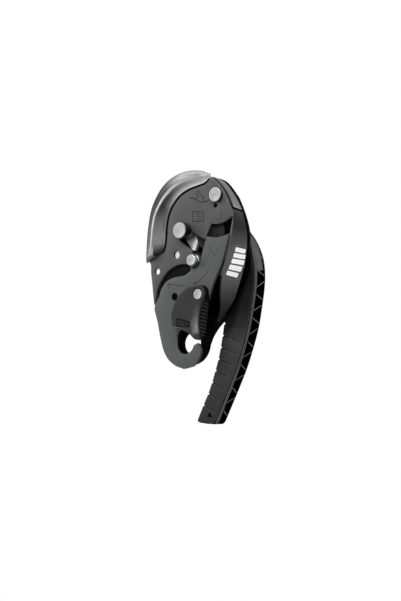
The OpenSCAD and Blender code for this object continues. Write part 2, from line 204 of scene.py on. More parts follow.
def cad_loops(node, y):
    """Boundary loops (x, z) of a CAD node's flat face at that y, the largest first."""
    mesh = frame["nodes"][node].data
    # corners in the same place share one number
    numbers, corner_of = {}, []
    for p in np.array([v.co for v in mesh.vertices]) * 1000:
        key = (round(p[0], 2), round(p[1], 2), round(p[2], 2))
        corner_of.append(numbers.setdefault(key, len(numbers)))
    points = list(numbers)
    # an edge shared by two faces is inside the flat face and drops out
    edges = {}
    for face in mesh.polygons:
        corners = [corner_of[i] for i in face.vertices]
        if all(abs(points[i][1] - y) < 0.014 for i in corners):
            for a, b in zip(corners, corners[1:] + corners[:1]):
                if a == b:
                    continue
                if (b, a) in edges:
                    del edges[(b, a)]
                else:
                    edges[(a, b)] = True
    onward = {}
    for a, b in edges:
        onward.setdefault(a, []).append(b)
    loops = []
    while onward:
        start = current = next(iter(onward))
        loop = []
        while current in onward:
            loop.append(current)
            following = onward[current].pop(0)
            if not onward[current]:
                del onward[current]
            current = following
            if current == start:
                break
        loops.append(np.array([(points[i][0], points[i][2]) for i in loop]))
    loops = [loop for loop in loops if len(loop) > 2]
    loops.sort(key=lambda loop: -abs(area(loop)))
    return loops


def cad_outline(node, y, steps):
    return refine(ccw(cad_loops(node, y)[0]), steps)


def inside(point, loops):
    """Whether the point lies inside the loops (even-odd)."""
    odd = False
    for loop in loops:
        x, z = loop[:, 0], loop[:, 1]
        x_next, z_next = np.roll(x, -1), np.roll(z, -1)
        spans = (z > point[1]) != (z_next > point[1])
        with np.errstate(divide="ignore", invalid="ignore"):
            x_cross = (x_next - x) * (point[1] - z) / (z_next - z) + x
        if int(np.sum(spans & (point[0] < x_cross))) % 2:
            odd = not odd
    return odd


def offset(loop, distance):
    """Moves a counter-clockwise loop inward by a distance (a number or one per point)."""
    distance = np.broadcast_to(np.asarray(distance, float), (len(loop),))
    arriving, leaving = loop - np.roll(loop, 1, 0), np.roll(loop, -1, 0) - loop
    arriving = arriving / np.maximum(np.linalg.norm(arriving, axis=1), 1e-9)[:, None]
    leaving = leaving / np.maximum(np.linalg.norm(leaving, axis=1), 1e-9)[:, None]
    normal = left_of(arriving) + left_of(leaving)
    # the floor keeps sharp corners from shooting far out
    stretch = np.maximum(np.sum(normal * normal, axis=1) / 2, 0.45)
    return loop + normal / stretch[:, None] * distance[:, None]


def left_of(directions):
    return np.stack([-directions[:, 1], directions[:, 0]], 1)


def directions_of(path):
    step = np.gradient(path, axis=0)
    return step / np.maximum(np.linalg.norm(step, axis=1), 1e-9)[:, None]


def nearest(points, x, z):
    """Distance from (x, z) to the nearest of the points."""
    return float(np.min(np.hypot(points[:, 0] - x, points[:, 1] - z)))


def quadratic(start, corner, end, steps):
    """Points of the curve that rounds a corner."""
    return [(1 - t) ** 2 * start + 2 * t * (1 - t) * corner + t * t * end
            for t in (s / steps for s in range(steps + 1))]


def corner_cut(before, corner, after, radius):
    """The corner and the two points where its rounding starts and ends, and their distance."""
    before, corner, after = (np.array(p, float) for p in (before, corner, after))
    to_before, to_after = before - corner, after - corner
    len_before, len_after = np.linalg.norm(to_before), np.linalg.norm(to_after)
    cut = min(radius, len_before * 0.45, len_after * 0.45)
    return corner, corner + to_before / len_before * cut, corner + to_after / len_after * cut, cut


def rounded(profile, radius=0.25):
    """Rounds the corners of an open profile."""
    out = [profile[0]]
    for i in range(1, len(profile) - 1):
        corner, start, end, cut = corner_cut(*profile[i - 1:i + 2], radius)
        if cut < 1e-3:
            out.append(tuple(corner))
        else:
            out += [tuple(p) for p in quadratic(start, corner, end, 3)]
    return out + [profile[-1]]


def soft_poly(points, radius, steps):
    """Rounds the corners of a closed polygon."""
    out = []
    for i in range(len(points)):
        corner, start, end, _ = corner_cut(points[i - 1], points[i],
                                           points[(i + 1) % len(points)], radius)
        out += quadratic(start, corner, end, steps)
    return np.array(out)


# ---------------------------------------------------------------- mesh parts: (verts, faces)
def join(*parts):
    verts, faces = [], []
    for part_verts, part_faces in parts:
        start = len(verts)
        verts += list(part_verts)
        faces += [tuple(start + i for i in face) for face in part_faces]
    return verts, faces


def bands(row_count, size, start=0):
    """Quads between neighbouring closed rows of equal size."""
    return [(start + i * size + j, start + i * size + (j + 1) % size,
             start + (i + 1) * size + (j + 1) % size, start + (i + 1) * size + j)
            for i in range(row_count - 1) for j in range(size)]


def loft(rows, cap=True):
    """A skin through closed rows of equal size."""
    size = len(rows[0])
    verts = [tuple(p) for row in rows for p in row]
    faces = bands(len(rows), size)
    if cap:
        faces.append(tuple(range(size)))
        faces.append(tuple(reversed(range((len(rows) - 1) * size, len(rows) * size))))
    return verts, faces


def fill(loops, grid=None):
    """Points (x, z) and triangles that fill the area inside the loops (even-odd)."""
    points, edges = [], []
    for loop in loops:
        start = len(points)
        points += [Vector((float(p[0]), float(p[1]))) for p in loop]
        edges += [(start + i, start + (i + 1) % len(loop)) for i in range(len(loop))]
    if grid:
        outline = np.array([[p.x, p.y] for p in points])
        lo, hi = outline.min(0), outline.max(0)
        columns = np.arange(lo[0] + grid / 2, hi[0], grid)
        for i, z in enumerate(np.arange(lo[1] + grid / 2, hi[1], grid)):
            for x in columns + (grid / 2 if i % 2 else 0):
                clear = np.min(np.sum((outline - (x, z)) ** 2, axis=1)) > (grid * 0.55) ** 2
                if clear and inside((x, z), loops):
                    points.append(Vector((x, z)))
    result = delaunay_2d_cdt(points, edges, [], 0, 1e-5)
    corners, faces = result[0], []
    for face in result[2]:
        centre = sum((corners[i] for i in face), Vector((0, 0))) / len(face)
        if inside((centre.x, centre.y), loops):
            faces.append(list(face))
    return [(v.x, v.y) for v in corners], faces


def flat_face(loops, y, grid):
    points, faces = fill(loops, grid)
    return [(x, y, z) for x, z in points], faces


def slab(loops, y_front, y_rear, front=0.4, rear=0.4, steps=3, grid=None,
         bevel=None, bevel_y=None):
    """A plate with rounded edges. loops[0] is the outer outline and the rest are holes.

    front and rear are the edge radii. bevel(x, z) and bevel_y(x, z) may give the front
    edge's width and depth at each point. grid is the spacing of points inside the faces.
    """
    verts, faces, front_loops, rear_loops = [], [], [], []
    deepest = (y_rear - y_front) * 0.48
    rear_depth = min(rear, deepest)
    turns = [math.pi / 2 * s / steps for s in range(steps + 1)]
    for index, loop in enumerate(loops):
        loop = ccw(clean(loop))
        inward = 1 if index == 0 else -1
        width = np.array([bevel(*p) if bevel else front for p in loop])
        depth = np.array([bevel_y(*p) if bevel_y else min(front, deepest) for p in loop])
        rows = [(offset(loop, inward * width * (1 - math.sin(turn))),
                 y_front + depth * (1 - math.cos(turn))) for turn in turns]
        rows += [(offset(loop, inward * rear * (1 - math.cos(turn))),
                  np.full(len(loop), y_rear - rear_depth * (1 - math.sin(turn))))
                 for turn in turns]
        faces += bands(len(rows), len(loop), len(verts))
        verts += [(p[0], y, p[1]) for row, ys in rows for p, y in zip(row, ys)]
        front_loops.append(rows[0][0])
        rear_loops.append(rows[-1][0])
    return join((verts, faces), flat_face(front_loops, y_front, grid),
                flat_face(rear_loops, y_rear, grid))


def lathe(centre, profile, count=64):
    """A turned solid about an axis along y. profile is [(radius, y), ...] from axis to axis."""
    verts, faces, rows = [], [], []
    for radius, y in profile:
        if radius < 1e-6:
            rows.append([len(verts)])
            verts.append((centre[0], y, centre[1]))
        else:
            rows.append(list(range(len(verts), len(verts) + count)))
            for i in range(count):
                turn = 2 * math.pi * i / count
                verts.append((centre[0] + radius * math.cos(turn), y,
                              centre[1] + radius * math.sin(turn)))
    for row, after in zip(rows, rows[1:]):
        for i in range(count):
            j = (i + 1) % count
            if len(row) == 1 and len(after) == 1:
                continue
            if len(row) == 1:
                faces.append((row[0], after[i], after[j]))
            elif len(after) == 1:
                faces.append((row[i], after[0], row[j]))
            else:
                faces.append((row[i], after[i], after[j], row[j]))
    return verts, faces


def ribbon(path, width, y, height):
    """A shallow raised line along an open path (x, z), standing in front of the face at y."""
    section = [(-0.5, 0.02), (-0.32, -height), (0.32, -height), (0.5, 0.02)]
    path = np.array(path, float)
    rows = []
    for point, side in zip(path, left_of(directions_of(path))):
        places = [(point + side * across * width, dy) for across, dy in section]
        rows.append([(p[0], y + dy, p[1]) for p, dy in places])
    return loft(rows)


def shift_y(part, y_at):
    """Moves a part along y by y_at(z)."""
    return [(x, y_at(z) + y, z) for x, y, z in part[0]], part[1]


def radii_of(part, centre):
    return [math.hypot(x - centre[0], z - centre[1]) for x, _, z in part[0]]


def add_piece(name, part, material, body, node, smooth=32, attrs=None):
    """Makes an object that rides on a body and, if node is given, replaces that CAD node."""
    verts, faces = part
    mesh = bpy.data.meshes.new(name)
    mesh.from_pydata([tuple(float(c) * MM for c in v) for v in verts], [],
                     [tuple(int(i) for i in f) for f in faces])
    mesh.validate()
    for key, values in (attrs or {}).items():
        attribute = mesh.attributes.new(key, "FLOAT", "POINT")
        attribute.data.foreach_set("value", np.array(values, np.float32))
    bm = bmesh.new()
    bm.from_mesh(mesh)
    bmesh.ops.remove_doubles(bm, verts=bm.verts, dist=2e-6)
    bmesh.ops.recalc_face_normals(bm, faces=bm.faces)
    bm.to_mesh(mesh)
    bm.free()
    mesh.materials.append(material)
    for polygon in mesh.polygons:
        polygon.use_smooth = True
    mesh.set_sharp_from_angle(angle=math.radians(smooth))
    piece = bpy.data.objects.new(name, mesh)
    bpy.context.scene.collection.objects.link(piece)
    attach(piece, body)
    if node:
        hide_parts(node)
    return piece


# ---------------------------------------------------------------- materials
def shader_graph(owner):
    """Empties a node tree. Returns a maker of nodes, whose inputs are values or sockets, and
    a maker of links."""
    owner.use_nodes = True
    tree = owner.node_tree
    tree.nodes.clear()

    def node(kind, inputs, **settings):
        made = tree.nodes.new("ShaderNode" + kind)
        for name, value in settings.items():
            setattr(made, name, value)
        for key, value in inputs.items():
            if isinstance(value, bpy.types.NodeSocket):
                tree.links.new(value, made.inputs[key])
            else:
                made.inputs[key].default_value = value
        return made
    return node, tree.links.new


def colour_ramp(node, factor, stops):
    """A colour ramp through stops of (position, (r, g, b))."""
    ramp = node("ValToRGB", {0: factor})
    elements = ramp.color_ramp.elements
    for element, (position, colour) in zip((elements[0], elements[1]), (stops[0], stops[-1])):
        element.position, element.color = position, (*colour, 1)
    for position, colour in stops[1:-1]:
        elements.new(position).color = (*colour, 1)
    return ramp


def finish(name, base, rough, metallic=0.0, spec=0.5, grain=900, bump=0.08, blotch=0.10,
           edge_wear_highlight=0.0, edge_wear_highlight_colour=None, edge_wear_highlight_radius=0.0004, stretch=(1, 1, 1), rings=0.0,
           anisotropy=0.0, glow=0.0, tone=None, tone_ramp=((0.0, 0.0), (1.0, 1.0))):
    """A procedural finish. Its colour takes these in turn:

    blotch - strength of the broad patches; grain - scale of the fine speckle, which also
    drives roughness and bump and is drawn out by stretch; tone - a mesh attribute of painted
    light and shade that scales the brightness through tone_ramp; edge_wear_highlight -
    strength of the lighter edges, partly worn and partly a painted edge highlight, within
    edge_wear_highlight_radius metres of an edge; rings - pitch of lathe rings by the
    attribute "rad".
    """
    material = bpy.data.materials.new(name)
    node, link = shader_graph(material)

    def noise(scale, detail, vector):
        return node("TexNoise", {"Scale": scale, "Detail": detail,
                                 "Vector": vector}).outputs["Fac"]

    def map_range(value, from_min, from_max, to_min, to_max):
        return node("MapRange", {"Value": value, "From Min": from_min, "From Max": from_max,
                                 "To Min": to_min, "To Max": to_max}).outputs[0]

    def math_node(operation, *inputs):
        return node("Math", dict(enumerate(inputs)), operation=operation).outputs[0]

    def multiplied(colour, factor):
        return node("Mix", {"Factor": 1.0, 6: colour, 7: factor},
                    data_type="RGBA", blend_type="MULTIPLY").outputs[2]

    place = node("TexCoord", {}).outputs["Object"]
    drawn_out = node("Mapping", {0: place, "Scale": stretch}).outputs[0]
    patches = noise(45, 4, place)
    speckle = noise(grain, 3, drawn_out)
    clouds = noise(12, 3, place)
    mottle = math_node("MULTIPLY", math_node("ADD", patches, clouds), 0.5)
    colour = multiplied((*base, 1), map_range(mottle, 0.3, 0.7, 1 - blotch, 1 + blotch))
    colour = multiplied(colour, map_range(speckle, 0.35, 0.65, 0.93, 1.07))
    spec_socket = None
    if tone:
        shade = node("Attribute", {}, attribute_name=tone).outputs["Fac"]
        ramp = colour_ramp(node, shade, [(at, (grey,) * 3) for at, grey in tone_ramp])
        ramp.color_ramp.interpolation = "EASE"
        colour = multiplied(colour, ramp.outputs[0])
        if metallic < 0.5:
            # where the tone paints shade, the highlight is dimmed too
            raised = math_node("MULTIPLY", ramp.outputs[0], spec * 3.2)
            spec_socket = math_node("MINIMUM", raised, spec)
    # lighter edges: partly worn metal, partly a painted edge highlight
    if edge_wear_highlight > 0:
        soft_normal = node("Bevel", {"Radius": edge_wear_highlight_radius}, samples=4).outputs[0]
        normal = node("NewGeometry", {}).outputs["Normal"]
        flatness = node("VectorMath", {0: soft_normal, 1: normal},
                        operation="DOT_PRODUCT").outputs["Value"]
        at_edge = map_range(flatness, 0.985, 0.80, 0.0, edge_wear_highlight)
        in_patch = map_range(patches, 0.35, 0.6, 0.0, 1.0)
        worn_or_highlit = math_node("MULTIPLY", at_edge, in_patch)
        colour = node("Mix", {"Factor": worn_or_highlit, 6: colour, 7: (*edge_wear_highlight_colour, 1)},
                      data_type="RGBA").outputs[2]
    if rings:
        radius = node("Attribute", {}, attribute_name="rad").outputs["Fac"]
        wave = math_node("SINE", math_node("MULTIPLY", radius, rings))
        colour = multiplied(colour, map_range(wave, -1, 1, 0.90, 1.06))
    roughness = map_range(speckle, 0.3, 0.7, max(0.04, rough - 0.06), min(1, rough + 0.06))
    bumps = node("Bump", {"Strength": bump, "Distance": 0.0002, "Height": speckle})
    surface = node("BsdfPrincipled", {
        "Base Color": colour, "Metallic": metallic, "Specular IOR Level": spec,
        "Roughness": roughness, "Normal": bumps.outputs[0], "Emission Strength": glow})
    if spec_socket:
        link(spec_socket, surface.inputs["Specular IOR Level"])
    if anisotropy:
        surface.inputs["Anisotropic"].default_value = anisotropy
        around = node("Tangent", {}, direction_type="RADIAL", axis="Y")
        link(around.outputs[0], surface.inputs["Tangent"])
    node("OutputMaterial", {0: surface.outputs[0]})
    material.diffuse_color = (*base, 1)
    return material


# the opening plates' lighter edges are partly worn and partly a painted edge highlight
UPPER_FINISH = finish("upper_anodised", (0.058, 0.058, 0.060), rough=0.46, metallic=0.30,
                      spec=0.45, grain=1600, bump=0.03, blotch=0.06,
                      edge_wear_highlight=0.8, edge_wear_highlight_colour=(0.24, 0.24, 0.245))
LOWER_FINISH = finish("lower_anodised", (0.066, 0.067, 0.067), rough=0.46, metallic=0.30,
                      spec=0.45, grain=1600, bump=0.03, blotch=0.06,
                      edge_wear_highlight=0.7, edge_wear_highlight_colour=(0.28, 0.28, 0.285), edge_wear_highlight_radius=0.0006)
FRAME_FINISH = finish("frame_anodised", (0.13, 0.13, 0.134), rough=0.46, metallic=0.20,
                      spec=0.35, grain=1400, bump=0.03, blotch=0.08, tone="sh")
# near black: painted shade in holes, on ledges and on the tongue behind the lower plate
TONGUE_PAINTED_SHADE = finish("tongue_painted_shade", (0.0045, 0.0045, 0.0048), rough=0.8, spec=0.05,
                       grain=1200)
STEEL = finish("liner_steel", (0.24, 0.24, 0.245), rough=0.42, metallic=0.8, grain=700,
               bump=0.02, blotch=0.05, stretch=(1, 1, 0.15))
LINER_STEEL = finish("liner_steel_toned", (0.27, 0.27, 0.275), rough=0.42, metallic=0.70,
                     grain=700, bump=0.02, blotch=0.05, stretch=(1, 1, 0.15), tone="sh")
LIP_STEEL = finish("lip_steel", (0.74, 0.74, 0.75), rough=0.48, metallic=0.50, grain=800,
                   bump=0.015, blotch=0.04, stretch=(0.3, 1, 0.3), tone="u")
# the rn tone paints shade: the chamfer and outer rim of each head and washer go dark
TURNED_STEEL = finish("turned_steel", (0.56, 0.56, 0.57), rough=0.38, metallic=0.9, bump=0.01,
                      blotch=0.04, rings=9.0, anisotropy=0.3, tone="rn",
                      tone_ramp=[(0.0, 0.97), (0.89, 1.04), (0.94, 0.34), (1.0, 0.06)])
PIN_STEEL = finish("pin_steel", (0.22, 0.22, 0.225), rough=0.36, metallic=0.9, bump=0.02,
                   blotch=0.06)
CATCH_STEEL = finish("catch_steel", (0.96, 0.96, 0.97), rough=0.48, metallic=0.15, grain=700,
                     bump=0.03, blotch=0.14, stretch=(1, 1, 0.3), tone="sh")
# near black: partly dark steel, partly painted shade for the cam seen in its window; its lighter
# edges are partly worn, partly a painted highlight
CAM_STEEL = finish("cam_steel", (0.010, 0.010, 0.0105), rough=0.40, metallic=0.30, spec=0.25,
                   grain=700, bump=0.02, edge_wear_highlight=0.8, edge_wear_highlight_colour=(0.30, 0.30, 0.30),
                   edge_wear_highlight_radius=0.0005)
BLACK_STEEL = finish("black_oxide_steel", (0.008, 0.008, 0.0085), rough=0.5, metallic=0.3,
                     spec=0.2, grain=800, bump=0.02)
GATE_NYLON = finish("gate_nylon", (0.150, 0.150, 0.153), rough=0.46, spec=0.35, grain=2200,
                    bump=0.06, blotch=0.05, tone="sh")
HANDLE_NYLON = finish("handle_nylon", (0.11, 0.11, 0.114), rough=0.50, spec=0.30, grain=1700,
                      bump=0.12, blotch=0.08, tone="sh")
# near black: the gate's dark label, and painted shade behind the gate's edge and in the handle's
# end recess
NEAR_BLACK_LABEL_AND_SHADE = finish("near_black_label_and_painted_shade", (0.0015, 0.0015, 0.0016), rough=0.9, spec=0.03, grain=1500,
                   bump=0.02, blotch=0.12)
BUTTON_NYLON = finish("button_nylon", (0.10, 0.10, 0.103), rough=0.45, grain=1800, bump=0.10,
                      blotch=0.06)
MARK_DARK = finish("mark_dark", (0.010, 0.010, 0.011), rough=0.7, spec=0.2, grain=1500)
PLAQUE_PALE = finish("plaque_pale", (0.80, 0.80, 0.80), rough=0.45, grain=1600, bump=0.03,
                     blotch=0.03)
# the guide pin sits deep behind its hole; its pale finish glows a little, a painted glint
GUIDE_STEEL = finish("guide_pin_steel", (0.88, 0.88, 0.89), rough=0.5, metallic=0.2, bump=0.01,
                     blotch=0.04, glow=0.6)
BRONZE = finish("bush_bronze", (0.38, 0.27, 0.13), rough=0.40, metallic=0.9)
SPRING_STEEL = finish("spring_steel", (0.28, 0.285, 0.31), rough=0.34, metallic=0.9,
                      blotch=0.08)
# lighter grey for the painted highlight lines along the opening plates' right edges
EDGE_HIGHLIGHT_GREY = finish("painted_edge_highlight", (0.135, 0.135, 0.138), rough=0.42, metallic=0.35, grain=1500,
                   bump=0.03, blotch=0.14)

# ---------------------------------------------------------------- rope lip edges (x, z)
LIP_OUTER = curve([(-59.1, 71), (-61, 88), (-61.6, 106), (-60, 122.3), (-54.3, 136.5),
                   (-46.7, 147), (-37.3, 154.2), (-26.8, 158.8), (-16, 160.7), (-5.8, 160.7),
                   (3.0, 158.8)], 10)
lip_inner = curve([(-38, 83.4), (-37.4, 92), (-38.5, 104), (-38.4, 114), (-35.8, 123),
                   (-31, 131), (-25, 137), (-16, 142.2), (-7, 146), (0.5, 149.4),
                   (4.4, 153.7)], 10)
lip_across = lip_inner - LIP_OUTER
lip_across /= np.linalg.norm(lip_across, axis=1)[:, None]
# the inner edge is drawn in towards the outer one, by mm at shares along the lip
lip_inner = lip_inner - lip_across * np.interp(
    np.linspace(0, 1, len(lip_inner)),
    [0, 0.1, 0.3, 0.5, 0.7, 0.9, 1], [0.6, 0.9, 0.5, 0.7, 1.3, 0.8, 0.4])[:, None]

# ---------------------------------------------------------------- opening plates
SKIN_TOP_RIGHT = curve([(6.3, 156.1), (15.1, 150.8), (23.3, 143.7), (29.5, 135.7),
                        (34.2, 128.4)], 10)
SLOT_RADIUS = math.hypot(KEEPER[0] - PIVOT[0], KEEPER[1] - PIVOT[1])
SLOT_HALF = 6.1                                 # half the width of the slot round the keeper
SLOT_ANGLE = math.degrees(math.atan2(PIVOT[1] - KEEPER[1], PIVOT[0] - KEEPER[0]))
SKIN_OUTLINE = np.concatenate([
    SKIN_TOP_RIGHT, arc(PIVOT, 27.2, -41.5, -96, 30), [polar(PIVOT, 39.5, -99.6)],
    arc(PIVOT, SLOT_RADIUS - SLOT_HALF, -99.6, -129, 24),
    arc(KEEPER, SLOT_HALF, SLOT_ANGLE, SLOT_ANGLE + 180, 24),
    [(-22, 94.4), (-5.6, 85.7)], arc(POST, 6.3, 120, -120, 30),
    curve([(-9.9, 72.4), (-16.3, 72), (-22.6, 69.8), (-31.2, 64.1), (-37.7, 54.7), (-41, 46),
           (-41.5, 39), (-41.7, 31.2)], 8),
    curve([(-42.8, 31.4), (-46.9, 46.2), (-49.5, 55), (-51.3, 61.2), (-52.4, 67.2),
           (-54.4, 70.8)], 6),
    [(-56.4, 73.2), (-51.0, 76.4), (-38.2, 81.0)], (lip_inner + lip_across * 1.75)[3:]])
SKIN_DEPTH = 1.35
DARK_HOLE = (-22.6, 80.1)
LOWER_HOLE = (-19, 41)


def upper_holes(wider):
    return [circle((-43.5, 62.6), 2.8 + wider, 40), circle(DARK_HOLE, 3.4 + wider, 40),
            circle((16, 129.8), 2.35, 32), circle(PIVOT, 4.05, 40)]


def darken(shell, hole, ledge_y=None):
    """Gives the wall of a hole, and the flat faces at ledge_y, the near-black finish of painted
    shade.
    """
    shell.data.materials.append(TONGUE_PAINTED_SHADE)
    for polygon in shell.data.polygons:
        centre = polygon.center / MM
        facing = abs(polygon.normal.y)
        on_ledge = ledge_y is not None and abs(centre.y - ledge_y) < 0.06 and facing > 0.9
        in_hole = (facing < 0.5 and centre.y > PLATE_FRONT + 0.3
                   and math.hypot(centre.x - hole[0], centre.z - hole[1]) < 4.0)
        if on_ledge or in_hole:
            polygon.material_index = 1


skin_rear = PLATE_FRONT + SKIN_DEPTH
upper = add_piece("upper_plate_shell", join(
    slab([SKIN_OUTLINE] + upper_holes(0), PLATE_FRONT, skin_rear, 0.35, 0.05, 4, grid=9),
    slab([cad_outline("upper_side_plate", PLATE_FRONT, 2)] + upper_holes(0.4),
         skin_rear, PLATE_REAR, 0.05, 0.4, 3, grid=9)),
    UPPER_FINISH, "opening_plate", "upper_side_plate")
darken(upper, DARK_HOLE, skin_rear)

# the stretch of the lower plate's edge that is rounded off more deeply
SOFT_EDGE = curve([(-33.8, 10), (-37.9, 21.2), (-40.3, 28), (-40.6, 31.2), (-40, 34.6),
                   (-39.2, 38.5), (-37.9, 45.6), (-34.6, 51.6), (-30.2, 56), (-22.4, 59.6),
                   (-12, 62.1), (-4.8, 67.2)], 8)


def soft_width(x, z):
    closeness = max(0.0, 1.0 - nearest(SOFT_EDGE, x, z) / 3.0)
    return 0.4 + 2.3 * clamp((z - 33) / 7) * smoothstep(closeness)


def soft_depth(x, z):
    return min(2.4, 0.4 + (soft_width(x, z) - 0.4) * 0.9)


# the left side bulges out by up to 1.7 mm about z = 26
lower_outline = np.array([
    (x - 1.7 * max(0.0, 1 - abs(z - 26) / 11), z) if x < -34 else (x, z)
    for x, z in cad_outline("lower_side_plate", PLATE_FRONT, 3)])
lower = add_piece("lower_plate_shell", slab(
    [lower_outline, circle(LOWER_HOLE, 3.6, 40), circle(GATE_PIN, 3.0, 32)],
    PLATE_FRONT, PLATE_REAR, rear=0.35, steps=6, grid=9, bevel=soft_width, bevel_y=soft_depth),
    LOWER_FINISH, "opening_plate", "lower_side_plate")
darken(lower, LOWER_HOLE)
# the tongue behind the lower plate is near black: painted shade
add_piece("lower_plate_tongue", slab(
    [cad_outline("lower_side_plate", TONGUE_REAR, 3), circle(POST, 4.0, 32)],
    PLATE_REAR - 0.01, TONGUE_REAR, 0.15, 0.5, 3, grid=9),
    TONGUE_PAINTED_SHADE, "opening_plate", None)


def edge_line(path, set_back, inset):
    """A thin raised line just inside an edge that runs upward on the right; its lighter grey is a
    painted edge highlight.
    """
    return ribbon(path + left_of(directions_of(path)) * inset, 0.5, PLATE_FRONT + set_back, 0.16)


lower_right = np.array([
    p for p in lower_outline if 36 < p[1] < 108 and p[0] > 8
    and p[0] > max(q[0] for q in lower_outline if abs(q[1] - p[1]) < 2.0) - 1.5])
lower_right = lower_right[np.argsort(lower_right[:, 1])]
# painted highlight lines along the right edges of the upper and lower plates
add_piece("painted_edge_highlight_lines", join(edge_line(SKIN_TOP_RIGHT[::-1][2:-2], 0.22, 0.32),
                                  edge_line(lower_right[2:-2], 0.24, 0.34)),
          EDGE_HIGHLIGHT_GREY, "opening_plate", None, smooth=60)

# ---------------------------------------------------------------- rope lip
LIP_HEIGHT = 6.6
LIP_SHEET = 1.45
LIP_CAP = 2.9                                   # how far the upper end is rounded out
# (share of the width from the inner edge, share of the height)
LIP_SECTION = curve([(0, 0.17), (0.14, 0.22), (0.28, 0.46), (0.42, 0.84), (0.51, 1),
                     (0.66, 0.94), (0.8, 0.7), (0.92, 0.28), (0.985, -0.22), (1, -0.68)], 9)
# painted reflection and shade of the lip, at shares along it, lower to upper end
LIP_TONE_AT = [0.13, 0.25, 0.36, 0.50, 0.70, 0.90]
LIP_TONES = [
    [0.30, 0.20, 0.13, 0.22, 0.66, 0.62],       # outer side
    [0.85, 1.00, 1.20, 1.20, 0.86, 0.70],       # painted highlight band
    [0.53, 0.51, 0.455, 0.42, 0.42, 0.42],      # place of the band across the lip
    [0.030, 0.032, 0.036, 0.050, 0.060, 0.100],  # width of the band
    [0.36, 0.25, 0.11, 0.19, 0.50, 0.80],       # beside the band, inner side
    [0.37, 0.27, 0.26, 0.56, 0.68, 0.74],       # inner side
    [0.50, 0.50, 0.44, 0.64, 0.74, 0.80],       # inner edge
]


def lip_tone(across, along):
    """Painted reflection and shade across the lip (inner to outer edge) and along it (lower to
    upper end).
    """
    outer, peak, band, width, dark, inner, edge = (
        np.interp(along, LIP_TONE_AT, tones) for tones in LIP_TONES)
    if across > band:
        base = outer * (1.0 - 0.35 * max(0.0, (across - 0.86) / 0.14))
        base *= 1.0 - (0.50 * clamp((along - 0.66) / 0.2)
                       * math.exp(-((across - 0.61) / 0.12) ** 2))
    else:
        base = dark + (inner - dark) * smoothstep(clamp((band - 0.08 - across) / 0.27))
        base += (edge - inner) * max(0.0, 1 - across / 0.05)
    tone = base + (peak - base) * math.exp(-((across - band) / width) ** 2)
    if along < 0.085:                           # painted shadow towards the lower end
        blend = clamp((along - 0.012) / 0.073)
        end_tone = 0.06 if across < 0.42 else (0.55 if across < 0.62 else 0.45)
        tone = end_tone * (1 - blend) + tone * blend
    return float(tone) * 0.78


def lip_row(index, beyond, scale):
    """One section and its shares across. beyond is below 0 past the lower end (mm) and above
    0 past the upper end (share of the cap)."""
    inner, outer = lip_inner[index], LIP_OUTER[index]
    height_scale = 1.0
    if beyond > 0:
        centre = (inner + outer) / 2
        side = unit(np.array([(outer - inner)[1], -(outer - inner)[0]])) * beyond * LIP_CAP
        inner, outer = (centre + (p - centre) * scale + side for p in (inner, outer))
    if beyond < 0:
        down = unit((lip_inner[0] + LIP_OUTER[0] - lip_inner[2] - LIP_OUTER[2]) / 2)
        inner, outer, height_scale = inner + down * -beyond, outer + down * -beyond, scale
    width = float(np.linalg.norm(outer - inner))
    height = LIP_HEIGHT * min(1.0, width / 21.0) * height_scale
    top = np.array([(s * width, h * height) for s, h in LIP_SECTION])
    forward = directions_of(top)
    normal = left_of(forward)
    sheet = LIP_SHEET * min(1.0, width / 12.0)
    under = top - normal * sheet
    under[:, 0] = np.clip(under[:, 0], 0, width)
    under[:, 1] = np.where(top[:, 0] < 0.8 * width, np.maximum(under[:, 1], 0.02), under[:, 1])
    corner = top[-1] - normal[-1] * sheet * 0.5 + forward[-1] * sheet * 0.45
    row, shares = [], []
    for across, rise in list(top) + [corner] + list(under[::-1]):
        x, z = inner + (outer - inner) / width * across
        row.append((x, PLATE_FRONT - rise, z))
        shares.append(float(np.clip(across / width, 0, 1)))
    return row, shares


lip_last = len(lip_inner) - 1
LIP_LEAD_IN = [(0, -1.5, 0.42), (0, -0.95, 0.78), (0, -0.35, 0.95)]
stations = (LIP_LEAD_IN + [(i, 0.0, 1.0) for i in range(lip_last + 1)]
            + [(lip_last, t, (1 - t ** 2.6) ** (1 / 2.6)) for t in (0.3, 0.55, 0.75, 0.88, 0.96)])
lip_rows, lip_tones = [], []
for number, station in enumerate(stations):
    row, shares = lip_row(*station)
    along = min(1.0, max(0, number - len(LIP_LEAD_IN)) / lip_last)
    lip_rows.append(row)
    lip_tones += [lip_tone(across, along) for across in shares]
# a solid block closes the lip under its first stations
end_rows = []
for row in lip_rows[3:7]:
    top = row[:len(LIP_SECTION)]
    end_rows.append([(x, y + 0.12, z) for x, y, z in top]
                    + [(x, max(y, PLATE_FRONT - 0.02), z) for x, y, z in top[::-1]])
end_shares = [float(p[0]) for p in LIP_SECTION]
# painted shade on the end block, lighter on its outer part
lip_tones += [0.10 if across < 0.55 else 0.45
              for across in end_shares + end_shares[::-1]] * len(end_rows)
add_piece("rope_lip_shell", join(loft(lip_rows), loft(end_rows)), LIP_STEEL, "opening_plate",
          "rope_lip", attrs={"u": lip_tones}, smooth=50)


# ---------------------------------------------------------------- turned pins and rivets
def head_face(radius, y, chamfer):
    """Turned face of a head: a shallow dish, one faint ring and a chamfered edge."""
    return [(0, y + 0.16), (radius * 0.2, y + 0.15), (radius * 0.5, y + 0.08),
            (radius * 0.56, y + 0.10), (radius * 0.62, y + 0.05), (radius * 0.8, y),
            (radius - chamfer - 0.1, y), (radius - chamfer * 0.3, y + chamfer * 0.4),
            (radius, y + chamfer)]


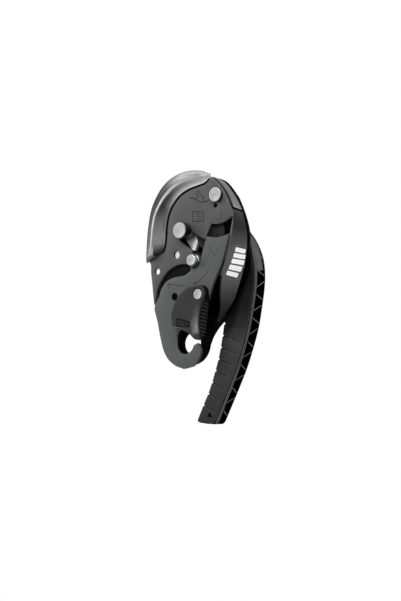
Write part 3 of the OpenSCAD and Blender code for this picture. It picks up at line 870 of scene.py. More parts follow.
# name, centre, body, CAD node, material, profile of (radius, y) from front to rear
PINS = [
    ("keeper_pin_turned", KEEPER, "frame", "keeper_pin", TURNED_STEEL,
     head_face(7.8, -21.5, 0.4) + [
         (7.8, -13.1), (5.6, -13.1), (5.6, FRAME_FRONT), (3.98, FRAME_FRONT),
         (3.98, FRAME_REAR), (5, FRAME_REAR), (5, 9.0), (4.6, 9.4), (0, 9.4)]),
    ("pivot_pin_turned", PIVOT, "frame", "pivot_pin", TURNED_STEEL,
     head_face(7.1, -15.6, 0.6) + [
         (7.1, -12.6), (3.98, -12.6), (3.98, FRAME_REAR), (6, FRAME_REAR), (6, 8.9),
         (5.5, 9.4), (0, 9.4)]),
    ("plate_post_turned", POST, "opening_plate", "plate_post", TURNED_STEEL,
     head_face(5.2, -18, 0.4) + [
         (5.2, -15.6), (4.6, -15.6), (4.6, -14.02), (3.98, -14.02), (3.98, TONGUE_REAR),
         (6, TONGUE_REAR), (6, TONGUE_REAR + 0.9), (5.6, TONGUE_REAR + 1.2),
         (0, TONGUE_REAR + 1.2)]),
    ("gate_rivet_turned", GATE_PIN, "opening_plate", "gate_rivet", TURNED_STEEL,
     head_face(5.0, GATE_FRONT + 0.4, 0.4) + [
         (5.0, GATE_FRONT + 1.8), (2.98, GATE_FRONT + 1.8), (2.98, PLATE_REAR),
         (5, PLATE_REAR), (5, PLATE_REAR + 1.3), (4.6, PLATE_REAR + 1.6),
         (0, PLATE_REAR + 1.6)]),
    ("rope_guide_pin_turned", GUIDE_PIN, "frame", "rope_guide_pin", GUIDE_STEEL,
     [(0, -5.9), (3.8, -5.9), (4.2, -5.5), (4.2, -4.9), (3.6, -4.9), (3.6, FRAME_FRONT),
      (2.48, FRAME_FRONT), (2.48, FRAME_REAR), (3.6, FRAME_REAR), (3.6, 8.7), (3.3, 9),
      (0, 9)]),
    ("cam_axle_turned", CAM_AXLE, "frame", "cam_axle", BLACK_STEEL,
     [(0, -9.2), (7.6, -9.2), (8, -8.9), (8, -8.5), (5.98, -8.5), (5.98, 28.1), (5.4, 28.6),
      (2.2, 28.6), (1.4, 27.6), (0, 27.3)]),
]
for name, centre, body, node, material, profile in PINS:
    part = lathe(centre, rounded(profile))
    radii = radii_of(part, centre)
    head = max(radii)
    add_piece(name, part, material, body, node, smooth=35,
              attrs={"rad": radii, "rn": [min(1.0, r / head) for r in radii]})

# washer round the post: painted shade, except for a painted glint on the outer part of its upper
# right
part = slab([circle(POST, 6.2, 64), circle(POST, 4.0, 48)], -14, PLATE_FRONT, 0.3, 0.3, 2)
radii, tones = radii_of(part, POST), []
for (x, _, z), radius in zip(part[0], radii):
    degrees = math.degrees(math.atan2(z - POST[1], x - POST[0]))
    glint = clamp((degrees + 10) / 18) * clamp((72 - degrees) / 20)
    tones.append(1.0 if radius < 5 else 0.97 - 0.10 * glint)
add_piece("post_washer_ring", part, TURNED_STEEL, "opening_plate", "post_washer",
          attrs={"rad": radii, "rn": tones})

# name, centre, front y, rear y, outer radius, inner radius, body, node, material, slot, edge
TUBES = [
    ("pivot_sleeve", PIVOT, PLATE_REAR + 0.1, FRAME_FRONT, 4.9, 4.0,
     "frame", "pivot_spacer", PIN_STEEL, "turned_steel", 0.15),
    ("axle_washer_ring", CAM_AXLE, 23.6, 24.8, 10, 6,
     "frame", "axle_washer", TURNED_STEEL, "turned_steel", 0.25),
    ("cam_bush_ring", CAM_AXLE, -8.3, 3.8, 7.48, 6.05,
     "cam", "cam_bush", BRONZE, "bronze", 0.15),
    ("gate_bush_ring", GATE_PIN, GATE_FRONT + 1.9, PLATE_FRONT - 2.5, 4.48, 3.05,
     "gate", "gate_bush", BRONZE, "bronze", 0.12),
    ("hub_insert_ring", CAM_AXLE, FRAME_REAR + 0.6, 23.5, 9.98, 6.05,
     "handle", "hub_insert", PIN_STEEL, "turned_steel", 0.3),
]
for name, centre, y_front, y_rear, outer, inner, body, node, material, slot, edge in TUBES:
    part = slab([circle(centre, outer, 64), circle(centre, inner, 48)],
                y_front, y_rear, edge, edge, 2)
    radii = radii_of(part, centre)
    add_piece(name, part, material, body, node,
              attrs={"rad": radii, "rn": [0.93 * r / outer for r in radii]})

add_piece("axle_nut_hex", slab([circle(CAM_AXLE, 10.2, 6), circle(CAM_AXLE, 6.0, 48)],
                               24.8, 28.4, 0.3, 0.6, 3),
          PIN_STEEL, "frame", "axle_nut")

SCREW_CENTRES = [polar(CAM_AXLE, 14, degrees) for degrees in (30, 150, 270)]
parts = []
for centre in SCREW_CENTRES:                    # head with a hexagonal socket, floor, stem
    parts += [slab([circle(centre, 3.4, 40), circle(centre, 1.5, 6)], 23.5, 24.9, 0.1, 0.45, 3),
              slab([circle(centre, 3.3, 32)], 23.45, 23.8, 0.05, 0.05, 1),
              slab([circle(centre, 1.98, 24)], FRAME_REAR + 0.8, 23.5, 0.3, 0.05, 2)]
add_piece("insert_screw_set", join(*parts), PIN_STEEL, "handle", "insert_screws")


def add_rivets(name, node, body, discs):
    """Stacks discs of (radius, count, front y, rear y, front edge, rear edge, steps) at each
    rivet of a CAD node. A y of None is the front of the node's box."""
    lo, hi = box_mm(node)
    parts = []
    for loop in cad_loops(node, hi[1]):
        centre = loop.mean(0)
        for radius, count, y_front, *rest in discs:
            y_front = lo[1] if y_front is None else y_front
            parts.append(slab([circle(centre, radius, count)], y_front, *rest))
    if parts:                                   # a node without a flat rear face is left alone
        add_piece(name, join(*parts), PIN_STEEL, body, node)


add_rivets("lip_stud_set", "lip_studs", "opening_plate", [
    (3.2, 40, PLATE_REAR, PLATE_REAR + 1, 0.05, 0.4, 3),
    (1.98, 24, None, PLATE_REAR + 0.1, 0.2, 0.05, 2)])
add_rivets("shoe_rivet_set", "shoe_rivets", "frame", [
    (3.2, 40, FRAME_REAR, 9.0, 0.05, 0.45, 3),
    (1.98, 24, -6, FRAME_REAR + 0.1, 0.05, 0.05, 1),
    (2.9, 40, None, -5.8, 0.3, 0.05, 3)])


# ---------------------------------------------------------------- springs
def add_coil(name, centre, y_front, y_rear, radius, wire, turns, body, node):
    per_turn, around = 28, 10
    steps = int(turns * per_turn)
    rows = []
    for i in range(steps + 1):
        turn = 2 * math.pi * i / per_turn
        y = y_front + wire + (y_rear - y_front - 2 * wire) * i / steps
        row = []
        for j in range(around):
            roll = 2 * math.pi * j / around
            reach = radius + wire * math.cos(roll)
            row.append((centre[0] + reach * math.cos(turn), y + wire * math.sin(roll),
                        centre[1] + reach * math.sin(turn)))
        rows.append(row)
    add_piece(name, loft(rows), SPRING_STEEL, body, node, smooth=60)


add_coil("cam_spring_coil", CAM_AXLE, 2.2, 4.4, radius=9.5, wire=0.38, turns=1.5,
         body="frame", node="cam_spring")
add_coil("catch_spring_coil", KEEPER, -0.3, 4.3, radius=6.7, wire=0.4, turns=4,
         body="frame", node="catch_spring")
add_coil("gate_spring_coil", GATE_PIN, PLATE_FRONT - 2.2, PLATE_FRONT - 0.15, radius=6,
         wire=0.28, turns=2, body="opening_plate", node="gate_spring")
add_coil("button_spring_coil", BUTTON, 15.05, 20.8, radius=3.2, wire=0.45, turns=4,
         body="handle", node="button_spring")

# ---------------------------------------------------------------- catch, cam, shoe
part = slab([cad_outline("rope_catch", box_mm("rope_catch")[0][1], 2),
             circle(KEEPER, 5.65, 48)], -5.6, -0.6, 0.7, 0.4, 4, grid=3)
tones = []
for x, y, z in part[0]:                         # painted light and shade: the front brightens downward from the keeper, and the rest is shaded
    below = (x - KEEPER[0]) * 0.35 + (KEEPER[1] - z) * 0.94
    tones.append(0.25 if y > -4.7 else
                 float(np.interp(below, [4, 8, 12, 16.5, 19], [0.10, 0.35, 0.80, 1.0, 0.9])))
add_piece("rope_catch_plate", part, CATCH_STEEL, "catch", "rope_catch",
          attrs={"sh": tones})

cam_rim = cad_outline("cam", box_mm("cam")[0][1], 2)
cam_core = (cam_rim - np.array(CAM_AXLE)) * 0.86 + np.array(CAM_AXLE)
cam_bore = circle(CAM_AXLE, 7.5, 48)
add_piece("cam_body", join(slab([cam_rim, cam_bore], -8.4, -6.0, 0.6, 0.9, 4, grid=6),
                           slab([cam_core, cam_bore], -6.2, 1.8, 0.05, 0.05, 1),
                           slab([cam_rim, cam_bore], 1.4, 3.8, 0.9, 0.4, 4, grid=6)),
          CAM_STEEL, "cam", "cam")
add_piece("rope_shoe_block", slab([cad_outline("rope_shoe", box_mm("rope_shoe")[0][1], 2)],
                                  -5.8, FRAME_FRONT, 0.5, 0.2, 3),
          STEEL, "frame", "rope_shoe")

# ---------------------------------------------------------------- fixed side plate
FRAME_RIGHT = [(-8, 157), (10, 154), (25, 142.5), (31, 135.5), (39, 123), (45, 110), (47.5, 97),
               (48, 85), (47, 73), (44, 59), (41, 48), (38, 37), (34, 25.5), (27.2, 16.5),
               (22.6, 8.5)]
FRAME_LEFT = [(-7.5, -18.6), (-14.5, -13.6), (-19.8, -5), (-25.5, 6), (-32, 22), (-38.5, 40),
              (-43.5, 57), (-46.5, 76), (-48.5, 95), (-48.5, 110), (-45, 126), (-37.5, 139),
              (-28, 149), (-18, 155)]


def dish(x, y, z):
    """Brings the lower end of the plate forward and thickens it."""
    def ease(z_low, z_high):
        t = clamp((z - z_low) / (z_high - z_low))
        return t * 0.55 + 0.45 * smoothstep(t)
    share = (y - FRAME_FRONT) / (FRAME_REAR - FRAME_FRONT)
    front = -2 + (FRAME_FRONT + 2) * ease(27, 47)
    rear = 2 + (FRAME_REAR - 2) * ease(28, 47)
    return (x, front + share * (rear - front), z)


frame_verts, frame_faces = slab(
    [np.concatenate([curve(FRAME_RIGHT, 8), arc((0, 0), 20.2, 2, -78, 30), curve(FRAME_LEFT, 8)]),
     circle((0, 0), 10.5, 96), circle(PIVOT, 4, 32), circle(KEEPER, 4, 32),
     circle(GUIDE_PIN, 2.5, 24), circle(CAM_AXLE, 6, 40),
     circle((14.5, 68.4), 2, 24), circle((22, 70.3), 2, 24)],
    FRAME_FRONT, FRAME_REAR, 0.45, 0.7, 4, grid=4)
frame_verts = [dish(*v) for v in frame_verts]

# ---------------------------------------------------------------- flared wall on its right
# front edge x, y, z, then rear edge x, z, from the top down
WALL = curve([
    (6, -8.8, 155.2, 1, 156.3), (14.6, -8.8, 150.3, 12, 152.3), (22.8, -8.8, 143.4, 24.2, 142),
    (29, -8.8, 135.4, 31, 134.5), (33.3, -8.8, 128, 36.4, 126.6), (34.9, -8.8, 119, 41, 117.2),
    (34.6, -8.8, 108, 45, 107.5), (33.8, -8.8, 95, 47, 95), (32, -8.8, 79, 47.3, 80),
    (30.2, -8.6, 70, 45.8, 69.5), (30.4, -8, 60, 43.7, 60), (30.6, -7, 50, 41.2, 50.3),
    (32, -6, 40, 38.4, 40), (31.8, -5, 31, 35.6, 31.2), (29, -4, 22.5, 32.2, 22.6)], 12)
WALL_SPLIT = 48                                 # the liner ends and the plate's wall starts here
WALL_ROOT = FRAME_FRONT + 1.5


def wall_normals(wall, i):
    """Inward (x, z) normals at the front and rear edges of a station."""
    before, after = wall[max(i - 1, 0)], wall[min(i + 1, len(wall) - 1)]
    front = unit(np.array([after[0] - before[0], after[2] - before[2]]))
    rear = unit(np.array([after[3] - before[3], after[4] - before[4]]))
    return np.array([front[1], 0, -front[0]]), np.array([rear[1], 0, -rear[0]])


def wall_rows(wall, first, thickness, rear_y, lip, out):
    """Rows from the rear outer edge, round the front edge, to the rear inner edge."""
    rows = []
    quarter = [math.radians(degrees) for degrees in (0, 30, 60, 90)]
    for i in range(first, len(wall)):
        station = wall[i]
        front_in, rear_in = wall_normals(wall, i)
        rear_outer = np.array([station[3], rear_y(station), station[4]])
        front_outer = station[:3] - front_in * out(station)
        row = [tuple(rear_outer + (front_outer - rear_outer) * (s / 8)) for s in range(8)]
        forward = unit(front_outer - rear_outer)
        front_inner = front_outer + front_in * thickness
        for corner, side, turns in ((front_outer, 1, quarter), (front_inner, -1, quarter[::-1])):
            row += [tuple(corner - forward * lip * (1 - math.sin(turn))
                          + front_in * side * lip * (1 - math.cos(turn))) for turn in turns]
        rear_inner = rear_outer + rear_in * thickness
        row += [tuple(front_inner + (rear_inner - front_inner) * s / 3) for s in range(1, 4)]
        rows.append(row)
    return rows


def wall_rear(station):
    z = station[2]
    return WALL_ROOT if z > 46 else max(0.6, WALL_ROOT - (46 - z) * 0.31)


def stand_out(station):
    return 1.3 * clamp((station[2] - 62) / 10)


# painted shade by height, darker towards the bottom and the top
def frame_base_tone(z):
    return float(np.interp(z, [30, 50, 62, 80, 96, 112, 140],
                           [0.20, 0.32, 0.48, 0.54, 0.46, 0.28, 0.26]))


def frame_plate_tone(x, y, z):
    """Painted light and shade of the plate: a front in painted shadow, a pale rear and edges in
    painted shade.
    """
    front = dish(0, FRAME_FRONT, z)[1]
    tone = frame_base_tone(z)
    if y < front + 0.3 and z > 24:
        lit = clamp((16 - x) / 8) * clamp((58 - z) / 12) * clamp((x + 34) / 8)
        tone = 0.03 + 0.15 * lit
    elif y > front + 3.42 or y > FRAME_REAR - 0.06 or (z < 47 and y > front + 3.2):
        tone = 0.62
    elif y > front + 0.3:
        tone = 0.07 + 0.33 * clamp((-22 - x) / 6) * clamp((y - front - 0.6) / 1.0)
    # painted shade round the big hole
    if z < 30 and y < 1.9:
        from_hole = clamp((math.hypot(x, z) - 13.5) / 4)
        tone = 0.05 + 0.12 * from_hole * (1 if x < 14 else 0.3)
    return tone


def frame_wall_tone(column, vert_z, station_z):
    if column > 11:                             # inner face, in painted shadow
        return 0.03
    if column >= 9:                             # front edge: a painted highlight above z = 66, painted shade below
        return (0.40, 0.95, 0.45)[column - 9] if station_z > 66 else 0.18
    return frame_base_tone(vert_z)


rows = wall_rows(WALL, WALL_SPLIT, 2.6, wall_rear, lip=0.9, out=stand_out)
tones = [frame_plate_tone(*v) for v in frame_verts]
for station, row in zip(WALL[WALL_SPLIT:], rows):
    tones += [frame_wall_tone(column, v[2], station[2]) for column, v in enumerate(row)]
add_piece("frame_plate_shell", join((frame_verts, frame_faces), loft(rows)), FRAME_FINISH,
          "frame", "fixed_side_plate", attrs={"sh": tones}, smooth=35)

# the liner follows the upper wall and stops just in front of the plate
LINER_REAR = FRAME_FRONT - 0.05
liner = []
for x_front, y_front, z_front, x_rear, z_rear in WALL[:WALL_SPLIT - 2]:
    reach = (LINER_REAR - y_front) / (WALL_ROOT - y_front)
    liner.append((x_front, y_front, z_front, x_front + (x_rear - x_front) * reach,
                  z_front + (z_rear - z_front) * reach))
rows = wall_rows(np.array(liner), 0, 2.0, lambda station: LINER_REAR, lip=0.7,
                 out=lambda station: 1.3)
# painted light and shade on the liner: its front edge and inner face are in painted shadow, and
# its lower end carries a painted highlight
tones = []
for number, row in enumerate(rows):
    outer_tone = 1.0 if number >= len(rows) - 2 else 0.80
    tones += [outer_tone] * 7 + [0.55] + [0.012] * (len(row) - 8)
add_piece("liner_shell", loft(rows), LINER_STEEL, "frame", "wall_liner",
          smooth=35, attrs={"sh": tones})

# ---------------------------------------------------------------- blank plaque on the wall
WALL_SPAN = 20.0                                # the wall's width in plaque drawings
BAR_LOW, BAR_HIGH, BAR_EDGE = 0.05, 0.5, 0.12


def on_wall(across, z, height):
    """A point at a height above the wall's outer face, across mm from its front edge."""
    heights = WALL[:, 2]
    i = int(np.argmin(np.abs(heights - z)))
    j = i + 1 if heights[i] > z else max(i - 1, 1)
    first, second = min(i, j), max(i, j)
    t = (heights[first] - z) / (heights[first] - heights[second])
    station = WALL[first] + (WALL[second] - WALL[first]) * t
    front_in, _ = wall_normals(WALL, first)
    front = station[:3] - front_in * stand_out(station)
    rearward = np.array([station[3], wall_rear(WALL[first]), station[4]]) - front
    normal = unit(np.cross(rearward, np.array([0, 0, -1.0])))
    if normal[0] < 0:
        normal = -normal
    return tuple(front + rearward * (across / WALL_SPAN) + normal * height)


def wall_bar(outline):
    """A thin raised patch that follows the wall, with a rounded edge."""
    outline = ccw(outline)
    verts = []
    for s in range(4):
        turn = math.pi / 2 * s / 3
        height = BAR_LOW + (BAR_HIGH - BAR_LOW) * math.sin(turn)
        verts += [on_wall(x, z, height)
                  for x, z in offset(outline, BAR_EDGE * (1 - math.cos(turn)))]
    parts = [(verts, bands(4, len(outline)))]
    for loop, height in ((offset(outline, BAR_EDGE), BAR_HIGH), (outline, BAR_LOW)):
        points, faces = fill([loop], 2.2)
        parts.append(([on_wall(x, z, height) for x, z in points], faces))
    return join(*parts)


rim = ccw(soft_poly([(1.6, 64.4), (12.6, 62.6), (17.0, 66.2), (19.2, 93.2), (14.6, 97.0),
                     (5.2, 94.4)], 3.0, 5))
RIM_SECTION = ((-0.32, -0.25), (-0.24, 0.10), (0, 0.20), (0.24, 0.10), (0.32, -0.25))
rows = []
for point, outward in zip(rim, rim - rim.mean(0)):
    rows.append([on_wall(*(point + unit(outward) * step), height)
                 for step, height in RIM_SECTION])
rows.append(rows[0])
part = loft(rows, cap=False)
add_piece("plaque_rim", part, FRAME_FINISH, "frame", None,
          attrs={"sh": [0.95] * len(part[0])})

parts = []
for k, width in enumerate((10.6, 11.6, 11.8, 11.2, 10.0)):
    x, z = 3.6 + 0.80 * k, 65.9 + 5.55 * k
    parts.append(wall_bar(soft_poly([(x, z + 1.2), (x + width, z), (x + width + 0.5, z + 4.3),
                                     (x + 0.5, z + 5.5)], 0.8, 3)))
add_piece("plaque_bars", join(*parts), PLAQUE_PALE, "frame", None)

# ---------------------------------------------------------------- gate
gate_ring = closed_curve([
    (-15, 22.6), (-14.4, 30.2), (-12.5, 36.5), (-8.5, 43), (-2.6, 48.7), (5, 52.6), (11.4, 54),
    (16.5, 53.4), (20.2, 49.5), (22.3, 41.5), (22.8, 32), (23.1, 22), (23.3, 12), (22.8, 6.2),
    (19.5, 4.2), (15.2, 4.6), (8.6, 8.7), (-1, 11.9), (-7.9, 12.9), (-12, 13.9)], 10)
# right edge of the gate's face, where the thumb ramp starts, from the top down
FACE_EDGE = curve([(21.3, 45.5), (20.4, 40), (18.7, 33), (18.2, 26), (18.6, 20), (19.8, 14.5),
                   (21.2, 9.5), (22.1, 6.0)], 8)
RAMP_BOTTOM, RAMP_TOP = 5.4, 43.5
# (z, x) of the ring's right side
RING_RIGHT = np.array(sorted((z, x) for x, z in gate_ring if x > 18.5 and 3 < z < 52))


def face_edge_x(z):
    return float(np.interp(z, FACE_EDGE[::-1, 1], FACE_EDGE[::-1, 0]))


def ring_x(z):
    return float(np.interp(z, RING_RIGHT[:, 0], RING_RIGHT[:, 1]))


def ramp_x(z):
    return ring_x(z) + 0.95 * min(1.0, (z - RAMP_BOTTOM) / 6, (RAMP_TOP - z) / 7)


soft_line = np.array([(face_edge_x(z), z) for z in np.linspace(7, 40, 60)])


def edge_softness(x, z):
    return smoothstep(max(0.0, 1 - nearest(soft_line, x, z) / 4.0))


gate_face = clean([(min(x, face_edge_x(z)), z) if 6.0 < z < 45.5 and x > 15 else (x, z)
                   for x, z in gate_ring], 0.05)
face_part = slab([gate_face, circle(GATE_PIN, 5.65, 56)], GATE_FRONT, GATE_REAR - 0.9,
                 rear=0.05, steps=6, grid=6,
                 bevel=lambda x, z: 0.8 + 2.4 * edge_softness(x, z),
                 bevel_y=lambda x, z: 0.7 + 1.7 * edge_softness(x, z))
base_part = slab([gate_ring, circle(GATE_PIN, 7, 56)], GATE_REAR - 1.5, GATE_REAR,
                 0.1, 0.4, 3, grid=6)
floor_part = slab([circle(GATE_PIN, 6.2, 56), circle(GATE_PIN, 4.55, 48)],
                  GATE_FRONT + 1.9, GATE_REAR - 2.2, 0.1, 0.1, 1)

# thumb ramp: it slopes rearward from the face to the right side
RAMP_FRONT, RAMP_REAR = GATE_FRONT + 2.3, GATE_REAR - 1.2
rows = []
for z in np.linspace(RAMP_BOTTOM, RAMP_TOP, 40):
    outer, inner = ramp_x(z), face_edge_x(z) - 0.6
    fade = min(1.0, (z - RAMP_BOTTOM) / 3 + 0.25, (RAMP_TOP - z) / 4 + 0.25)
    top = RAMP_FRONT + (1 - fade) * 1.2
    rows.append([(inner - 1.2, GATE_REAR - 0.6, z), (inner - 1.2, top, z), (inner + 0.3, top, z),
                 (inner + (outer - inner) * 0.45, top + (RAMP_REAR - top) * 0.30, z),
                 (inner + (outer - inner) * 0.78, top + (RAMP_REAR - top) * 0.66, z),
                 (outer, RAMP_REAR, z), (outer, GATE_REAR - 0.6, z)])
ramp_part = loft(rows)


def ramp_point(z, share, height):
    """A point at a height above the ramp, at a share of the way across it."""
    outer, inner = ramp_x(z), face_edge_x(z) - 0.3
    width, depth = outer - inner, RAMP_REAR - RAMP_FRONT
    line = np.array([(inner, RAMP_FRONT), (inner + width * 0.45, RAMP_FRONT + depth * 0.30),
                     (inner + width * 0.78, RAMP_FRONT + depth * 0.66), (outer, RAMP_REAR),
                     (outer, GATE_REAR - 0.8)])
    lengths = np.linalg.norm(np.diff(line, axis=0), axis=1)
    shares = np.concatenate([[0], np.cumsum(lengths)]) / lengths.sum()

    def at(s):
        return np.array([np.interp(s, shares, line[:, 0]), np.interp(s, shares, line[:, 1])])
    along = unit(at(min(1, share + 0.05)) - at(max(0, share - 0.05)))
    normal = np.array([along[1], -along[0]])
    if normal[1] > 0.0 and abs(normal[1]) > abs(normal[0]):
        normal = -normal
    if normal[0] < 0:
        normal = -normal
    x, y = at(share) + normal * height
    return x, y, z


def thumb_rib(z):
    rows = []
    for s in np.linspace(0.0, 0.97, 9):
        height = 0.62 * min(1, s / 0.12 + 0.2, (1 - s) / 0.1 + 0.2)
        row = []
        for dz, h in [(-1.08, -0.2), (-0.82, height * 0.55), (-0.42, height),
                      (0.42, height), (0.82, height * 0.55), (1.08, -0.2)]:
            px, py, pz = ramp_point(z + dz - 1.2 * (s - 0.3), s, h)
            row.append((min(px, 1.15 + ring_x(pz)), py, pz))
        rows.append(row)
    return loft(rows)


def gate_face_tone(x, y, z):
    """Painted light and shade of the face, with a painted highlight band along its soft edge and
    a painted highlight on its lower rim.
    """
    if y > GATE_REAR - 2.2:
        return 0.06
    gap = nearest(soft_line, x, z)
    band = np.interp(z, [9, 12.6, 16.3, 20, 23.7, 27.5, 31, 38],
                     [0.0, 0.86, 0.74, 0.50, 0.32, 0.22, 0.14, 0.0])
    closeness = max(0.0, 1 - abs(gap - 2.5) / 1.9)
    rim_light = 0.0
    if -13 < x < 6 and z < 13.5:
        bottom = sorted((p[0], p[1]) for p in gate_ring if p[1] < 24 and x - 6 < p[0] < x + 6)
        if z - float(np.interp(x, *zip(*bottom))) < 0.75:
            rim_light = 0.40 * clamp((6 - x) / 4)
    return (0.235 - 0.08 * max(0.0, 1 - gap / 1.4)
            + 0.95 * smoothstep(closeness) * float(band) + rim_light)


# painted light on the thumb ribs: lighter crests, darker flanks
RIB_TONES = [0.06, 0.10, 0.19, 0.19, 0.10, 0.06]
parts = [face_part, base_part, floor_part, ramp_part]
tones = [gate_face_tone(*v) for v in face_part[0]]
# painted shade on the base, the floor round the rivet and the thumb ramp
for part, tone in ((base_part, 0.10), (floor_part, 0.05), (ramp_part, 0.10)):
    tones += [tone] * len(part[0])
for z in np.arange(9.0, 40, 3.3):
    rib = thumb_rib(z)
    parts.append(rib)
    tones += RIB_TONES * (len(rib[0]) // len(RIB_TONES))
add_piece("gate_body", join(*parts), GATE_NYLON, "gate", "gate", smooth=38,
          attrs={"sh": tones})
# a near-black sheet behind the gate, set up and to the right, paints the shadow past its upper
# right edge
add_piece("gate_edge_painted_shadow",
          slab([gate_ring + (0.75, 0.65), circle(GATE_PIN, 7.2, 56)],
               GATE_REAR - 0.9, GATE_REAR + 0.02, 0.3, 0.05, 2),
          NEAR_BLACK_LABEL_AND_SHADE, "gate", None)


def label_bar(centre_x, centre_z):
    """A small upright bar with rounded corners, leaning 6 degrees to the left."""
    half_x, half_z, corner, edge = 0.625, 1.6, 0.144, 0.12
    cos_lean, sin_lean = math.cos(math.radians(6)), math.sin(math.radians(6))
    outline = []
    for side_x, side_z, start in ((1, 1, 0), (-1, 1, 90), (-1, -1, 180), (1, -1, 270)):
        middle_of_corner = (side_x * (half_x - corner), side_z * (half_z - corner))
        outline += [polar(middle_of_corner, corner, start + 30 * s) for s in range(4)]
    outline = np.array([(centre_x + x * cos_lean - z * sin_lean,
                         centre_z + x * sin_lean + z * cos_lean) for x, z in outline])
    return slab([outline], 0, 0.3, edge, edge, 2)


label = ccw(soft_poly([(-8.6, 21.9), (9.2, 19.9), (8.8, 14.4), (-7.8, 14.0)], 0.8, 3))
parts = [slab([label, offset(label, 1.15)], 0, 0.3, 0.1, 0.05, 2)]
parts += [label_bar(-5.0 + 2.35 * k, 17.9 - 0.16 * k) for k in range(6)]
add_piece("gate_label_rim", shift_y(join(*parts), lambda z: GATE_FRONT - 0.03),
          NEAR_BLACK_LABEL_AND_SHADE, "gate", None)

# ---------------------------------------------------------------- handle outline
HUB_R = 22
HUB_START, HUB_END = 196, 46                    # degrees where the hub's arc meets the grip
HANDLE_Y = 10.0
BORDER = 2.4                                    # width of the strip along the front's right edge
GRIP_RIGHT = curve([(32.6, 110.6), (42.8, 101.2), (51.6, 88.6), (56.2, 75.8), (58.2, 62),
                    (58.38, 46.4), (57.4, 23.7), (54.8, 5.5), (50.7, -14.7), (45.3, -33.2),
                    (39.2, -51.8), (33.5, -68.8)], 12)
GRIP_LEFT = curve([(7.7, -70.8), (12.6, -56), (16.4, -45.6), (19, -36.4), (21, -27.3),
                   (22.8, -18.2), (24.3, -9), (25.0, 0), (25.5, 9), (25.8, 21.6), (25.8, 36),
                   (24, 50), (19, 63), (11, 73), (0, 80)], 8)
GRIP_END = [(31.0, -71.3), (20.4, -72.95), (11.2, -72.95), (8.3, -72.2)]
# the right edge runs down and the left one up, so inward is to the right of both
RIGHT_INWARD = -left_of(directions_of(GRIP_RIGHT))
LEFT_INWARD = -left_of(directions_of(GRIP_LEFT))


def handle_front(z):
    return HANDLE_Y + 0.8 * clamp((20 - z) / 100)


def handle_rear(z):
    return 23 - 2.7 * clamp((20 - z) / 100)


def left_x(z):
    return float(np.interp(z, GRIP_LEFT[:, 1], GRIP_LEFT[:, 0]))


def hub_arc(inset=0.0):
    return arc(CAM_AXLE, HUB_R - inset, HUB_START, HUB_END, 60)


def left_edge(inset):
    return GRIP_LEFT + LEFT_INWARD * inset


def core_right():
    """The core's right edge, 9 mm in along the windows and 2.6 mm in at the ends."""
    return np.array([p + inward * (2.6 + 6.4 * clamp((92.0 - p[1]) / 5)
                                   * clamp((p[1] + 69.5) / 1.6))
                     for p, inward in zip(GRIP_RIGHT, RIGHT_INWARD)])


def front_right(extra):
    """The front flange's right edge, which is set in from the rear flange's."""
    return np.array([p + inward * (0.1 + extra + 0.5 * smoothstep(clamp((104 - p[1]) / 24)))
                     for p, inward in zip(GRIP_RIGHT, RIGHT_INWARD)])


# grooves that run in from the left edge: z at the edge, degrees below level, length
GROOVES = []
for i in range(8):
    z = 21.9 - 11.14 * i
    right_x = float(np.interp(z - 4, GRIP_RIGHT[::-1, 1], GRIP_RIGHT[::-1, 0]))
    GROOVES.append((z, 8.6 + (21 - 8.6) * i / 7, (right_x - left_x(z)) * 0.66))


def groove_direction(degrees):
    return np.array([math.cos(math.radians(degrees)), -math.sin(math.radians(degrees))])


def slotted_left_edge():
    """The left edge with the grooves cut in; edge points within a groove's mouth go."""
    points = []
    for p, following in zip(GRIP_LEFT[:-1], GRIP_LEFT[1:]):
        if all(abs(p[1] - z) >= 1.05 for z, _, _ in GROOVES):
            points.append(p)
        for z, degrees, length in GROOVES:
            if p[1] < z <= following[1]:
                mouth = p + (following - p) * (z - p[1]) / (following[1] - p[1])
                into = groove_direction(degrees)
                up = np.array([-into[1], into[0]])
                # (distance in, distance above the groove's middle)
                points += [mouth + into * deep + up * rise for deep, rise in (
                    (0, -1.0), (1.6, -0.42), (length, -0.30), (length + 0.35, 0),
                    (length, 0.30), (1.6, 0.42), (0, 1.0))]
    return np.array(points + [GRIP_LEFT[-1]])


# ---------------------------------------------------------------- handle parts
screw_holes = [circle(centre, 2.0, 20) for centre in SCREW_CENTRES]
hub_holes = [circle(CAM_AXLE, 10, 64)] + screw_holes
rim_outer, rim_inner = front_right(0.0), front_right(BORDER)
along_strip = rim_outer[:, 1] < 103
skin_outline = np.concatenate([hub_arc(), rim_outer[~along_strip],
                               front_right(BORDER + 1.2)[along_strip], [(28.4, -70.5)],
                               GRIP_END[1:], slotted_left_edge()])
strip_outline = np.concatenate([rim_outer[along_strip], [(31.0, -71.3), (29.4, -71.4)],
                                rim_inner[along_strip][::-1]])
base_outline = np.concatenate([hub_arc(0.1), front_right(0.1), GRIP_END, left_edge(0.75)])
rear_outline = np.concatenate([hub_arc(), GRIP_RIGHT, GRIP_END, GRIP_LEFT])
core_outline = np.concatenate([hub_arc(2.6), core_right(), np.array(GRIP_END) + (0, 0.8),
                               left_edge(0.9)])
front_skin = shift_y(slab([skin_outline] + hub_holes, 0, 1.0, 0.38, 0.02, 3, grid=9),
                     handle_front)
front_strip = shift_y(slab([ccw(strip_outline)], 0, 1.0, 0.3, 0.02, 3), handle_front)
front_base = shift_y(slab([base_outline] + hub_holes, 0.83, 1.7, 0.02, 0.2, 2, grid=9),
                     handle_front)
rear_flange = shift_y(slab([rear_outline, hub_holes[0], circle(BUTTON, 6.25, 48)] + screw_holes,
                           -1.0, 0, 0.1, 0.7, 4, grid=9), handle_rear)
boss = slab([circle(CAM_AXLE, HUB_R - 4, 72)] + hub_holes, FRAME_REAR + 0.5, 12, 0.4, 0.05, 3)

